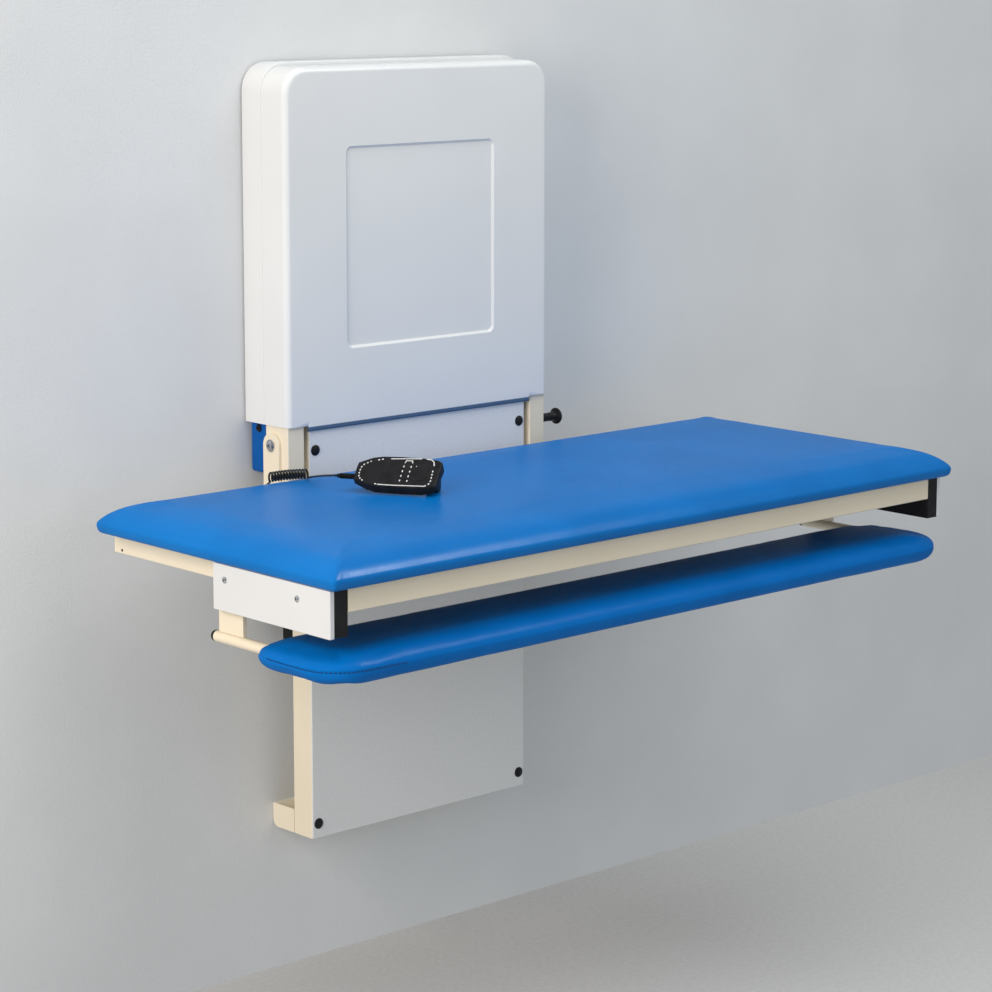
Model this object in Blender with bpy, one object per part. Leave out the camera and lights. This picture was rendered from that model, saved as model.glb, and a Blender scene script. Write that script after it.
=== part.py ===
"""Wall-mounted height-adjustable changing bench, as an assembly of separate pieces.

Metres, +Z up, +Y into the wall, +X along the bench. The origin lies on the wall, in the middle of
the lower wall rail. The lift carries hood, posts and bench along Z, the bench folds up about the
two pivot bolts, and the padded guard slides out from under the bench along -Y.
"""
import math

import bmesh
import bpy
from mathutils import Matrix, Vector
from mathutils.geometry import tessellate_polygon

for old in list(bpy.data.objects):
    bpy.data.objects.remove(old, do_unlink=True)

# General clearances
GAP = 0.0003            # between two pieces that touch
STEEL = 0.004           # folded sheet of the wall frame

# Fixed wall frame
COLUMN_HALF = 0.2646    # half the width over both columns
COLUMN_W = 0.040        # width of a column along X
COLUMN_D = 0.0527       # depth of a column
STAND_OFF = 0.0628      # back of the columns from the wall
FOOT_H = 0.0445         # height of the lower wall rail
WALL_RAIL_H = 0.045     # height of the upper wall rail
PANEL_T = 0.003         # front panel
DRIVE_BASE_H = 0.125    # drive's base plate
CONTROL_UP = 0.030      # lower rail's underside to the control box
CONTROL_H = 0.170       # control box
MOTOR_W = 0.088         # drive motor along X

# Lift
LIFT_DOWN = 0.300       # travel below the position of the photo
LIFT_UP = 0.080         # travel above it
ROD_R = 0.011           # lift rod radius
ROD_CLEAR = 0.0025      # lift rod to the bore of its tube
DRIVE_TUBE_R = 0.0195   # outer radius of the lift tube
ROD_OVERLAP = 0.090     # lift rod left in its tube at the top of the lift
LIFT_CLEAR = 0.010      # beam to the upper wall rail at the top of the lift
BEAM_LAND = 0.012       # top beam to the columns at the bottom of the lift

# Carriage
POST_GAP = 0.0134       # column to post
POST_W = 0.038          # post along X
POST_WALL = 0.003
BEAM_CLEAR = 0.0065     # blue beam to the columns' backs
BEAM_WALL_CLEAR = 0.008  # blue beam to the wall
BEAM_BELOW = 0.058      # blue beam below the pivot
BEAM_ABOVE = 0.018      # blue beam above the hood's lower edge
POST_BELOW = 0.052      # post below the frame
POST_PROUD = 0.0022     # post ahead of the panel
TOP_BEAM_H = 0.040      # beam between the posts' tops
ROLLER_DROP = 0.316     # roller plate below the blue beam

# Hood
HOOD_WALL = 0.0035
HOOD_SEAM = 0.0565      # seam between rear shell and front cover, from the wall
HOOD_HEAD = 0.141       # top of the posts to the top of the hood
HOOD_RADIUS = 0.052     # upper corners
HOOD_STEP = 0.007       # front cover set in from the rear shell
HOOD_RISE = 0.036       # hood's lower edge above the pivot
HOOD_CLEAR = 0.0015     # posts to the front cover
LIP_DROP = 0.011        # front cover's lip between the posts, below the hood's lower edge
LIP_ROLL = 0.0018       # lip rolled in at its foot
RECESS_W = 0.3615
RECESS_H = 0.3680
RECESS_UP = 0.132       # hood's lower edge to the recess
RECESS_D = 0.0022       # depth of the recess
RECESS_SLOPE = 0.005    # width of its sloping sides

# Bench
FRAME_HALF = 0.7035     # half the length of the steel frame
RAIL_Z = 0.582          # underside of the frame above the origin
RAIL_H = 0.040
RAIL_W = 0.025
RAIL_WALL = 0.002
FRAME_DEPTH = 0.626     # frame from back to front
STOP_T = 0.0127         # rubber stop between post and frame
MATTRESS_END = 0.0465   # mattress past the frame at each end
MATTRESS_FRONT = 0.0210
MATTRESS_T = 0.0600
DECK_T = 0.009
PIVOT_RISE = 0.0335     # pivot above the mattress
PIVOT_IN = 0.0225       # pivot ahead of the post's back
HINGE_T = 0.006
HINGE_R = 0.0225        # half the width of a hinge plate
FOLD_MAX = 75.0         # degrees, the bench folded up

# Side guard
GUIDE_W = 0.0265        # guide block along X
GUIDE_BACK = 0.4610     # guide block's back end from the wall
GUIDE_DROP = 0.0370     # guide block below the frame
PLATE_T = 0.0085        # white side plate
GUARD_TRAVEL = 0.225
GUARD_ARM_W = 0.064
GUARD_DROP = 0.0900     # frame's underside to the guard tube's axis
GUARD_TUBE_R = 0.0095
PAD_END = 0.03495       # guard tube's axis to the pad's end
PAD_BEHIND = 0.107      # guard arm's back to the pad's back
PAD_DEPTH = 0.222
PAD_T = 0.053

# Handset and cord
HANDSET_L = 0.152
HANDSET_W = 0.068
HANDSET_T = 0.028
HANDSET_TILT = 32.0     # degrees, its face turned towards the user
HANDSET_X = -0.325      # handset's place along the bench
HANDSET_IN = 0.300      # and from the mattress's back edge
RELIEF_L = 0.030        # strain relief
CORD_R = 0.0019
CURL_R = 0.0075
CURLS = 13

# Levels that follow from the sizes above
foot_z = -FOOT_H / 2
col_back = -STAND_OFF
col_front = col_back - COLUMN_D
col_in = COLUMN_HALF - COLUMN_W
panel_back = col_front - GAP
panel_front = panel_back - PANEL_T
beam_front = col_back + BEAM_CLEAR
beam_back = -BEAM_WALL_CLEAR
post_in = COLUMN_HALF + POST_GAP
post_out = post_in + POST_W
post_back = beam_front - GAP
post_front = panel_front - POST_PROUD
rail_top = RAIL_Z + RAIL_H
frame_back = post_front - STOP_T - 2 * GAP
frame_front = frame_back - FRAME_DEPTH
mat_z = rail_top + GAP
mat_top = mat_z + MATTRESS_T
pivot_y = post_back - PIVOT_IN
pivot_z = mat_top + PIVOT_RISE
hood_z = pivot_z + HOOD_RISE
beam_z0 = pivot_z - BEAM_BELOW
beam_z1 = hood_z + BEAM_ABOVE
post_z0 = RAIL_Z - POST_BELOW
wall_rail_z = beam_z1 + LIFT_UP + LIFT_CLEAR
col_top = wall_rail_z + WALL_RAIL_H + 0.005
top_beam_z0 = col_top + LIFT_DOWN + BEAM_LAND
top_beam_z1 = top_beam_z0 + TOP_BEAM_H
hood_top = top_beam_z1 + HOOD_HEAD
hood_in = post_out + GAP
hood_half = hood_in + HOOD_WALL
hood_front_in = post_front - HOOD_CLEAR
hood_front = hood_front_in - HOOD_WALL
drive_y = (col_back + col_front) / 2


def material(name, colour, rough, metal=0.0):
    mat = bpy.data.materials.new(name)
    mat.use_nodes = True
    shader = mat.node_tree.nodes["Principled BSDF"]
    shader.inputs["Base Color"].default_value = (*colour, 1.0)
    shader.inputs["Roughness"].default_value = rough
    shader.inputs["Metallic"].default_value = metal
    mat.diffuse_color = (*colour, 1.0)
    return mat


CREAM = material("cream_paint", (0.80, 0.69, 0.50), 0.45)
WHITE = material("white_abs", (0.82, 0.81, 0.79), 0.40)
PANEL = material("panel_laminate", (0.70, 0.71, 0.73), 0.45)
SIDE = material("white_polymer", (0.86, 0.85, 0.83), 0.50)
VINYL = material("blue_vinyl", (0.006, 0.125, 0.520), 0.38)
BLUE = material("blue_paint", (0.005, 0.085, 0.390), 0.45)
BLACK = material("black_plastic", (0.012, 0.012, 0.013), 0.45)
RUBBER = material("black_rubber", (0.018, 0.018, 0.018), 0.80)
ZINC = material("zinc_steel", (0.62, 0.63, 0.64), 0.30, 1.0)
BOARD = material("birch_board", (0.52, 0.36, 0.20), 0.70)
DRIVE = material("grey_housing", (0.20, 0.21, 0.22), 0.50)
CORD = material("black_cord", (0.010, 0.010, 0.011), 0.40)


def body(name, verts, faces, mat):
    """One closed body from plain vertex and face lists, normals outward."""
    mesh = bpy.data.meshes.new(name)
    mesh.from_pydata([tuple(v) for v in verts], [], faces)
    bm = bmesh.new()
    bm.from_mesh(mesh)
    bmesh.ops.recalc_face_normals(bm, faces=bm.faces)
    bm.to_mesh(mesh)
    bm.free()
    obj = bpy.data.objects.new(name, mesh)
    bpy.context.collection.objects.link(obj)
    if mat:
        mesh.materials.append(mat)
    return obj


def at(axis, p, q, t):
    """Point of an outline (p, q) at the level t of the axis it is drawn along."""
    if axis == "X":
        return Vector((t, p, q))
    if axis == "Y":
        return Vector((p, t, q))
    return Vector((p, q, t))


def extrude(name, axis, outline, a, b, mat, holes=()):
    """Outline in the two other axes, drawn from a to b, with through holes."""
    loops = [list(outline)] + [list(h) for h in holes]
    flat = [pt for loop in loops for pt in loop]
    count = len(flat)
    verts = [at(axis, p, q, a) for p, q in flat] + [at(axis, p, q, b) for p, q in flat]
    faces = []
    caps = tessellate_polygon([[Vector((p, q, 0.0)) for p, q in loop] for loop in loops])
    for tri in caps:
        faces.append([i for i in tri])
        faces.append([i + count for i in reversed(tri)])
    start = 0
    for loop in loops:
        n = len(loop)
        for i in range(n):
            j = (i + 1) % n
            faces.append([start + i, start + j, start + j + count, start + i + count])
        start += n
    return body(name, verts, faces, mat)


def box(name, x0, x1, y0, y1, z0, z1, mat):
    return extrude(name, "Z", rect(x0, x1, y0, y1), z0, z1, mat)


def rect(p0, p1, q0, q1):
    return [(p0, q0), (p1, q0), (p1, q1), (p0, q1)]


def rounded(p0, p1, q0, q1, r, steps=4):
    """Rectangle with rounded corners, counter-clockwise from the lower left one."""
    pts = []
    for cp, cq, turn in ((p0 + r, q0 + r, 180), (p1 - r, q0 + r, 270), (p1 - r, q1 - r, 0),
                         (p0 + r, q1 - r, 90)):
        for i in range(steps + 1):
            ang = math.radians(turn + 90 * i / steps)
            pts.append((cp + r * math.cos(ang), cq + r * math.sin(ang)))
    return pts


def circle(cp, cq, r, n=20):
    turns = [2 * math.pi * i / n for i in range(n)]
    return [(cp + r * math.cos(turn), cq + r * math.sin(turn)) for turn in turns]


def turned(name, axis, centre, profile, mat, n=20):
    """Turned piece: profile is a list of (level along the axis, radius), closed at both ends."""
    verts = []
    faces = []
    for t, r in profile:
        for p, q in circle(centre[0], centre[1], r, n):
            verts.append(at(axis, p, q, t))
    last = (len(profile) - 1) * n
    for k in range(len(profile) - 1):
        for i in range(n):
            j = (i + 1) % n
            faces.append([k * n + i, k * n + j, k * n + n + j, k * n + n + i])
    faces.append(list(range(n)))
    faces.append([last + i for i in range(n)])
    return body(name, verts, faces, mat)


def loft(name, rings, mat):
    """Closed body through rings of equal point counts, capped at both ends."""
    n = len(rings[0])
    verts = [Vector(p) for ring in rings for p in ring]
    faces = []
    for k in range(len(rings) - 1):
        for i in range(n):
            j = (i + 1) % n
            faces.append([k * n + i, k * n + j, k * n + n + j, k * n + n + i])
    faces.append(list(range(n)))
    faces.append([(len(rings) - 1) * n + i for i in range(n)])
    return body(name, verts, faces, mat)


def cut(obj, cutter):
    """Takes the cutter out of the piece and hides it."""
    mod = obj.modifiers.new("cut", "BOOLEAN")
    mod.operation = "DIFFERENCE"
    mod.solver = "EXACT"
    mod.object = cutter
    cutter.hide_render = True
    cutter.display_type = "WIRE"


def to_origin(obj, point):
    """Moves the object's origin to a point on its joint axis."""
    obj.data.transform(Matrix.Translation(-Vector(point)))
    obj.location = Vector(point)


# Lower wall rail: a folded tray, open at the top, its ends are the feet of the columns
foot_r = 0.014
foot_out = [(0.0, foot_z + FOOT_H), (0.0, foot_z + foot_r)]
for i in range(1, 6):
    turn = math.radians(90 * i / 5)
    foot_out.append((-foot_r + foot_r * math.cos(turn), foot_z + foot_r - foot_r * math.sin(turn)))
foot_out += [(col_back + GAP, foot_z), (col_back + GAP, foot_z + FOOT_H)]
lower_rail = extrude("lower_wall_rail", "X", foot_out, -COLUMN_HALF, COLUMN_HALF, CREAM)
tray = [(-STEEL, foot_z + FOOT_H + 0.01), (-STEEL, foot_z + foot_r)]
for i in range(1, 6):
    turn = math.radians(90 * i / 5)
    rad = foot_r - STEEL
    tray.append((-foot_r + rad * math.cos(turn), foot_z + foot_r - rad * math.sin(turn)))
tray += [(col_back + GAP + STEEL, foot_z + STEEL), (col_back + GAP + STEEL, foot_z + FOOT_H + 0.01)]
cut(lower_rail, extrude("lower_rail_cutter", "X", tray, STEEL - COLUMN_HALF, COLUMN_HALF - STEEL, None))

# Upper wall rail: the same sheet, flat on the wall and behind the columns
upper = [(0.0, wall_rail_z), (col_back + GAP, wall_rail_z), (col_back + GAP, wall_rail_z + WALL_RAIL_H),
         (col_back + GAP + STEEL, wall_rail_z + WALL_RAIL_H), (col_back + GAP + STEEL, wall_rail_z + STEEL),
         (-STEEL, wall_rail_z + STEEL), (-STEEL, wall_rail_z + WALL_RAIL_H),
         (0.0, wall_rail_z + WALL_RAIL_H)]
extrude("upper_wall_rail", "X", upper, -COLUMN_HALF, COLUMN_HALF, CREAM)

# Two columns: channels that open towards each other and guide the rollers
for side, name in ((-1, "left_column"), (1, "right_column")):
    section = [(COLUMN_HALF, col_back), (col_in, col_back), (col_in, col_back - STEEL),
               (COLUMN_HALF - STEEL, col_back - STEEL), (COLUMN_HALF - STEEL, col_front + STEEL),
               (col_in, col_front + STEEL), (col_in, col_front), (COLUMN_HALF, col_front)]
    extrude(name, "Z", [(side * x, y) for x, y in section], foot_z, col_top, CREAM)

# Front panel over the columns
extrude("front_panel", "Y", rounded(-COLUMN_HALF, COLUMN_HALF, foot_z, col_top - 0.012, 0.003, 2),
        panel_front, panel_back, PANEL)

# Drive: base plate on the lower rail, motor with the lift tube, control box
base_half = col_in - 0.030
base_y = col_back - GAP
box("drive_base", -base_half, base_half, base_y - STEEL, base_y, foot_z, foot_z + DRIVE_BASE_H, CREAM)
drive_back = base_y - STEEL - GAP
tube_top = col_top - 0.030
rod_z0 = tube_top - LIFT_UP - ROD_OVERLAP - GAP
bore_z0 = rod_z0 - LIFT_DOWN - 0.006
tube_z0 = bore_z0 - 0.012
extrude("drive_motor", "Z", rounded(-MOTOR_W / 2, MOTOR_W / 2, col_front + 0.006, drive_back, 0.008, 3),
        foot_z + 0.020, tube_z0 - GAP, DRIVE)
tube = turned("drive_tube", "Z", (0.0, drive_y), [(tube_z0, DRIVE_TUBE_R), (tube_top, DRIVE_TUBE_R)],
              ZINC, 24)
cut(tube, turned("drive_tube_cutter", "Z", (0.0, drive_y),
                 [(bore_z0, ROD_R + ROD_CLEAR), (tube_top + 0.01, ROD_R + ROD_CLEAR)], None, 24))
extrude("control_box", "Z",
        rounded(MOTOR_W / 2 + 0.022, base_half - 0.006, col_front + 0.008, drive_back, 0.006, 3),
        foot_z + CONTROL_UP, foot_z + CONTROL_UP + CONTROL_H, BLACK)

# Carriage: blue cross beam behind the columns, folded and open towards the wall
beam_half = post_out - 0.006
beam_r = 0.008
beam = extrude("cross_beam", "Y", rounded(-beam_half, beam_half, beam_z0, beam_z1, beam_r, 3),
               beam_front, beam_back, BLUE)
cut(beam, box("cross_beam_cutter", STEEL - beam_half, beam_half - STEEL, beam_front + STEEL,
              beam_back + 0.01, beam_z0 + STEEL, beam_z1 - STEEL, None))

# Two posts, each a box tube beside its column; the right one has the lock's arc slot
lock_dy = -0.0175
lock_dz = -0.0175
lock_reach = math.hypot(lock_dy, lock_dz)
lock_start = math.atan2(lock_dz, lock_dy)
for side, name in ((-1, "left_post"), (1, "right_post")):
    outer = rounded(post_in, post_out, post_front, post_back, 0.002, 2)
    inner = rounded(post_in + POST_WALL, post_out - POST_WALL,
                    post_front + POST_WALL, post_back - POST_WALL, 0.001, 2)
    post = extrude(name, "Z", [(side * x, y) for x, y in outer], post_z0, top_beam_z1, CREAM,
                   [[(side * x, y) for x, y in inner]])
    x0, x1 = sorted((side * (post_out - POST_WALL - 0.004), side * (post_out + 0.004)))
    cut(post, extrude(name + "_bore_cutter", "X", circle(pivot_y, pivot_z, 0.0053, 16), x0, x1, None))
    if side > 0:
        slot = []
        for sign, steps in ((1, range(0, 13)), (-1, range(12, -1, -1))):
            for k in steps:
                turn = lock_start - math.radians(FOLD_MAX + 22) * k / 12 + math.radians(11)
                rad = lock_reach + sign * 0.0048
                slot.append((pivot_y + rad * math.cos(turn), pivot_z + rad * math.sin(turn)))
        cut(post, extrude("lock_slot_cutter", "X", slot, x0, x1, None))

# Foot caps of the posts, the left one lets the cord out
for side, name in ((-1, "left_post_cap"), (1, "right_post_cap")):
    ring = rounded(post_in, post_out, post_front, post_back, 0.002, 2)
    hole = circle((post_in + post_out) / 2, (post_front + post_back) / 2, CORD_R + 0.0004, 12)
    extrude(name, "Z", [(side * x, y) for x, y in ring], post_z0 - GAP - 0.006, post_z0 - GAP, BLACK,
            [[(side * x, y) for x, y in hole]] if side < 0 else [])

# Top beam between the posts, inside the hood, with the lift rod under it
extrude("top_beam", "X", rounded(post_front + 0.006, post_back - 0.004, top_beam_z0, top_beam_z1, 0.003, 2),
        GAP - post_in, post_in - GAP, CREAM,
        [rounded(post_front + 0.009, post_back - 0.007, top_beam_z0 + 0.003, top_beam_z1 - 0.003, 0.001, 2)])
turned("lift_rod", "Z", (0.0, drive_y), [(rod_z0, ROD_R), (top_beam_z0 - GAP, ROD_R)], ZINC, 24)

# Roller plates between the columns, each with two rollers and a shoe behind its column
plate_out = col_in - 0.006
plate_in = plate_out - 0.005
plate_z0 = beam_z0 - ROLLER_DROP
roller_r = (COLUMN_D - 2 * STEEL) / 2 - 0.00035
shoe_back = col_back + GAP + 0.0295
for side, tag in ((-1, "left"), (1, "right")):
    outline = [(beam_front - GAP, beam_z1 - 0.006), (col_front + 0.008, beam_z1 - 0.006),
               (col_front + 0.008, plate_z0), (shoe_back, plate_z0), (shoe_back, plate_z0 + 0.062),
               (beam_front - GAP, plate_z0 + 0.075)]
    a, b = sorted((side * plate_in, side * plate_out))
    extrude(tag + "_roller_plate", "X", outline, a, b, ZINC)
    for level, part in ((plate_z0 + 0.040, "lower"), (beam_z1 - 0.042, "upper")):
        a, b = sorted((side * (plate_out + GAP), side * (COLUMN_HALF - STEEL - 0.003)))
        turned(tag + "_" + part + "_roller", "X", (drive_y, level),
               [(a, roller_r - 0.002), (a + 0.002, roller_r), (b - 0.002, roller_r), (b, roller_r - 0.002)],
               BLACK, 24)
    a, b = sorted((side * (plate_out + GAP), side * COLUMN_HALF))
    extrude(tag + "_shoe", "Z", rounded(a, b, col_back + GAP, shoe_back, 0.003, 2),
            plate_z0, plate_z0 + 0.060, BLACK)

# Pivot bolts: head, shank through hinge plate and post wall, nut inside the post
bolt_head = post_out + GAP + HINGE_T + GAP
for side, name in ((-1, "left_pivot_bolt"), (1, "right_pivot_bolt")):
    nut = post_out - POST_WALL - GAP
    prof = [(nut - 0.006, 0.0085), (nut, 0.0085), (nut, 0.005), (bolt_head, 0.005), (bolt_head, 0.0115),
            (bolt_head + 0.0035, 0.0105), (bolt_head + 0.0055, 0.0065)]
    turned(name, "X", (pivot_y, pivot_z), [(side * x, r) for x, r in prof], ZINC, 20)


def arch(half, bottom, top, r, set_in=0.0):
    """Front view of the hood: flat foot, two rounded upper corners."""
    pts = [(-half + set_in, bottom), (half - set_in, bottom)]
    rad = r - set_in
    for cx, turn in ((half - r, 0), (-half + r, 90)):
        for i in range(9):
            ang = math.radians(turn + 90 * i / 8)
            pts.append((cx + rad * math.cos(ang), top - r + rad * math.sin(ang)))
    return pts


def ring_y(outline, y):
    return [(x, y, z) for x, z in outline]


# Hood, rear shell: sides and top round the beam, open to the wall and below
rear_back = -0.003
rear_front = -HOOD_SEAM
shell_out = arch(hood_half, hood_z, hood_top, HOOD_RADIUS)
shell_in = arch(hood_in, hood_z - 0.02, hood_top - HOOD_WALL, HOOD_RADIUS - HOOD_WALL)
rear = extrude("hood_rear", "Y", shell_out, rear_front, rear_back, WHITE)
cut(rear, extrude("hood_rear_cutter", "Y", shell_in, rear_front - 0.01, rear_back + 0.01, None))

# Hood, front cover: stepped in at the top, rounded front edge, sloping recess, lip between the posts
cover_top = hood_top - HOOD_STEP
cover_back = rear_front - GAP
cover_foot = hood_z - LIP_DROP
front_r = HOOD_RADIUS - 0.004
rings = [ring_y(arch(hood_half, cover_foot, cover_top, front_r), cover_back)]
for inset, y in ((0.0, hood_front + 0.010), (0.0012, hood_front + 0.005), (0.004, hood_front + 0.0015),
                 (0.009, hood_front)):
    ring = arch(hood_half, cover_foot, cover_top - inset * 0.4, front_r, inset)
    rings.append(ring_y(ring, y))
cover = loft("hood_front", rings, WHITE)
hollow = arch(hood_in, cover_foot - 0.02, cover_top - HOOD_WALL - 0.004, front_r - HOOD_WALL)
hollow_front = arch(hood_in, cover_foot - 0.02, cover_top - HOOD_WALL - 0.006, front_r - HOOD_WALL)
cut(cover, loft("hood_front_cutter",
                [ring_y(hollow, cover_back + 0.01), ring_y(hollow, hood_front_in + 0.004),
                 ring_y(hollow_front, hood_front_in)], None))
lip_half = post_in - 0.006
for side, tag in ((-1, "left"), (1, "right")):
    x0, x1 = sorted((side * lip_half, side * (hood_half + 0.01)))
    cut(cover, box(tag + "_lip_cutter", x0, x1, hood_front - 0.01, cover_back + 0.01,
                   cover_foot - 0.01, hood_z, None))
lip_bevel = [(hood_front - 0.01, cover_foot - 0.01), (hood_front + LIP_ROLL, cover_foot - 0.01),
             (hood_front + LIP_ROLL, cover_foot), (hood_front + 0.3 * LIP_ROLL, cover_foot + 0.5 * LIP_DROP),
             (hood_front - 0.01, hood_z + 0.1 * LIP_DROP)]
cut(cover, extrude("lip_bevel_cutter", "X", lip_bevel, -hood_half - 0.01, hood_half + 0.01, None))
recess = []
for y, inset in ((hood_front - 0.01, 0.0), (hood_front, 0.0), (hood_front + RECESS_D, RECESS_SLOPE)):
    recess.append(ring_y(rounded(inset - RECESS_W / 2, RECESS_W / 2 - inset, hood_z + RECESS_UP + inset,
                                 hood_z + RECESS_UP + RECESS_H - inset, 0.010 - inset, 3), y))
cut(cover, loft("recess_cutter", recess, None))


# Bench frame: hollow rails, a long one in front, one behind, two at the ends and three cross bars
def hollow_rail(name, axis, p0, p1, a, b):
    """Box tube with open ends, RAIL_H high, between p0 and p1 and from a to b along its axis."""
    wall = RAIL_WALL
    extrude(name, axis, rounded(p0, p1, RAIL_Z, rail_top, 0.002, 2), a, b, CREAM,
            [rounded(p0 + wall, p1 - wall, RAIL_Z + wall, rail_top - wall, 0.001, 2)])


rear_half = FRAME_HALF - RAIL_W - GAP
hollow_rail("front_rail", "X", frame_front, frame_front + RAIL_W, -FRAME_HALF, FRAME_HALF)
hollow_rail("rear_rail", "X", frame_back - RAIL_W, frame_back, -rear_half, rear_half)
bar_y0 = frame_front + RAIL_W + GAP
bar_y1 = frame_back - RAIL_W - GAP
for name, cx, y1 in (("left_end_rail", RAIL_W / 2 - FRAME_HALF, frame_back),
                     ("right_end_rail", FRAME_HALF - RAIL_W / 2, frame_back),
                     ("left_cross_bar", -post_out, bar_y1), ("right_cross_bar", post_out, bar_y1),
                     ("mid_cross_bar", 0.0, bar_y1)):
    hollow_rail(name, "Y", cx - RAIL_W / 2, cx + RAIL_W / 2, bar_y0, y1)

# Deck board and mattress, a crowned cushion with drawn-in sides
mat_half = FRAME_HALF + MATTRESS_END
mat_front = frame_front - MATTRESS_FRONT
mat_back = frame_back - 0.008
deck_half = FRAME_HALF - 0.012
deck_y0 = frame_front + 0.010
deck_y1 = frame_back - 0.012
box("deck_board", -deck_half, deck_half, deck_y0, deck_y1, mat_z, mat_z + DECK_T, BOARD)


def cushion(name, x0, x1, y0, y1, z0, rings, radius, steps, mat):
    """Padded form: rings of (inset, height) up one side and over the crown."""
    levels = []
    for inset, z in rings:
        rad = max(radius - inset, 0.004)
        plan = rounded(x0 + inset, x1 - inset, y0 + inset, y1 - inset, rad, steps)
        levels.append([(x, y, z0 + z) for x, y in plan])
    return loft(name, levels, mat)


t = MATTRESS_T
mat_rings = [(0.012, 0.0), (0.0060, 0.03 * t), (0.0018, 0.12 * t), (0.0, 0.25 * t), (0.0060, 0.46 * t),
             (0.0190, 0.64 * t), (0.0355, 0.79 * t), (0.0557, 0.885 * t), (0.0860, 0.935 * t),
             (0.150, 0.972 * t), (0.220, 0.992 * t), (0.290, 1.0 * t)]
mattress = cushion("mattress", -mat_half, mat_half, mat_front, mat_back, mat_z, mat_rings, 0.020, 5, VINYL)
cut(mattress, box("deck_pocket_cutter", -deck_half - GAP, deck_half + GAP, deck_y0 - GAP, deck_y1 + GAP,
                  mat_z - 0.01, mat_z + DECK_T + GAP, None))

# Hinge plates: round head on the pivot, straight down to the rear rail
plate_back = pivot_y + HINGE_R
plate_front = pivot_y - HINGE_R
for side, name in ((-1, "left_hinge_plate"), (1, "right_hinge_plate")):
    outline = [(plate_back, RAIL_Z), (frame_back + GAP, RAIL_Z), (frame_back + GAP, rail_top),
               (plate_front, rail_top + 0.004)]
    for i in range(13):
        turn = math.radians(180 - 180 * i / 12)
        outline.append((pivot_y + HINGE_R * math.cos(turn), pivot_z + HINGE_R * math.sin(turn)))
    holes = [circle(pivot_y, pivot_z, 0.0053, 16)]
    if side > 0:
        holes.append(circle(pivot_y + lock_dy, pivot_z + lock_dz, 0.0043, 16))
    a, b = sorted((side * (post_out + GAP), side * (post_out + GAP + HINGE_T)))
    extrude(name, "X", outline, a, b, CREAM, holes)

# Rubber stops between the frame and the posts
for side, name in ((-1, "left_stop"), (1, "right_stop")):
    cx = side * (post_in + post_out) / 2
    extrude(name, "Y", rounded(cx - 0.014, cx + 0.014, RAIL_Z + 0.004, rail_top - 0.004, 0.003, 2),
            frame_back + GAP, frame_back + GAP + STOP_T, RUBBER)

# Lock: bush on the right hinge plate, spring plunger with a mushroom knob in it
lock_y = pivot_y + lock_dy
lock_z = pivot_z + lock_dz
bush_x = post_out + GAP + HINGE_T + GAP
bush_end = bush_x + 0.028
bush = turned("lock_bush", "X", (lock_y, lock_z), [(bush_x, 0.0095), (bush_end, 0.0095)], BLACK, 20)
cut(bush, turned("lock_bush_cutter", "X", (lock_y, lock_z),
                 [(bush_x - 0.01, 0.0044), (bush_end + 0.008, 0.0044)], None, 20))
pin_x = post_out - POST_WALL - 0.002
knob_x = bush_end + GAP
knob = turned("lock_knob", "X", (lock_y, lock_z),
              [(pin_x, 0.003), (pin_x + 0.001, 0.0040), (knob_x, 0.0040), (knob_x, 0.0090),
               (knob_x + 0.014, 0.0075), (knob_x + 0.018, 0.0135), (knob_x + 0.021, 0.0160),
               (knob_x + 0.025, 0.0160), (knob_x + 0.029, 0.0110)], BLACK, 20)
to_origin(knob, (knob_x, lock_y, lock_z))

# Guide blocks at the ends of the frame, with a T slot that opens downward, and white side plates
guide_z0 = RAIL_Z - GUIDE_DROP
guide_front = frame_front
guide_in = FRAME_HALF + GAP
guide_out = guide_in + GUIDE_W
slot_x = guide_in + GUIDE_W / 2
runner_z0 = guide_z0 + 0.024
runner_z1 = guide_z0 + 0.052
slot_front = guide_front + 0.007
arm_back = 0.010 - GUIDE_BACK
arm_front = arm_back - GUARD_ARM_W
for side, tag in ((-1, "left"), (1, "right")):
    a, b = sorted((side * guide_in, side * guide_out))
    sl, sr = side * slot_x - 0.0044, side * slot_x + 0.0044
    wl, wr = side * slot_x - 0.0083, side * slot_x + 0.0083
    tee = [(sl, guide_z0), (sl, runner_z0), (wl, runner_z0), (wl, runner_z1), (wr, runner_z1),
           (wr, runner_z0), (sr, runner_z0), (sr, guide_z0)]
    verts = [(x, guide_front, z) for x, z in ((a, guide_z0), (sl, guide_z0), (sr, guide_z0), (b, guide_z0),
                                              (b, rail_top), (a, rail_top))]
    verts += [(x, slot_front, z) for x, z in tee]
    back = [(a, guide_z0)] + tee + [(b, guide_z0), (b, rail_top), (a, rail_top)]
    verts += [(x, -GUIDE_BACK, z) for x, z in back]
    faces = [[0, 1, 2, 3, 4, 5], [1, 2, 13, 6], list(range(6, 14)), list(range(14, 26)), [0, 1, 6, 15, 14],
             [2, 3, 23, 22, 13], [3, 4, 24, 23], [4, 5, 25, 24], [5, 0, 14, 25]]
    faces += [[6 + i, 7 + i, 16 + i, 15 + i] for i in range(7)]
    body(tag + "_guide", verts, faces, BLACK)
    a, b = sorted((side * (guide_out + GAP), side * (guide_out + GAP + PLATE_T)))
    plate = rounded(guide_front, -GUIDE_BACK, guide_z0 - 0.001, rail_top - 0.001, 0.002, 2)
    extrude(tag + "_side_plate", "X", plate, a, b, SIDE)

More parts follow.
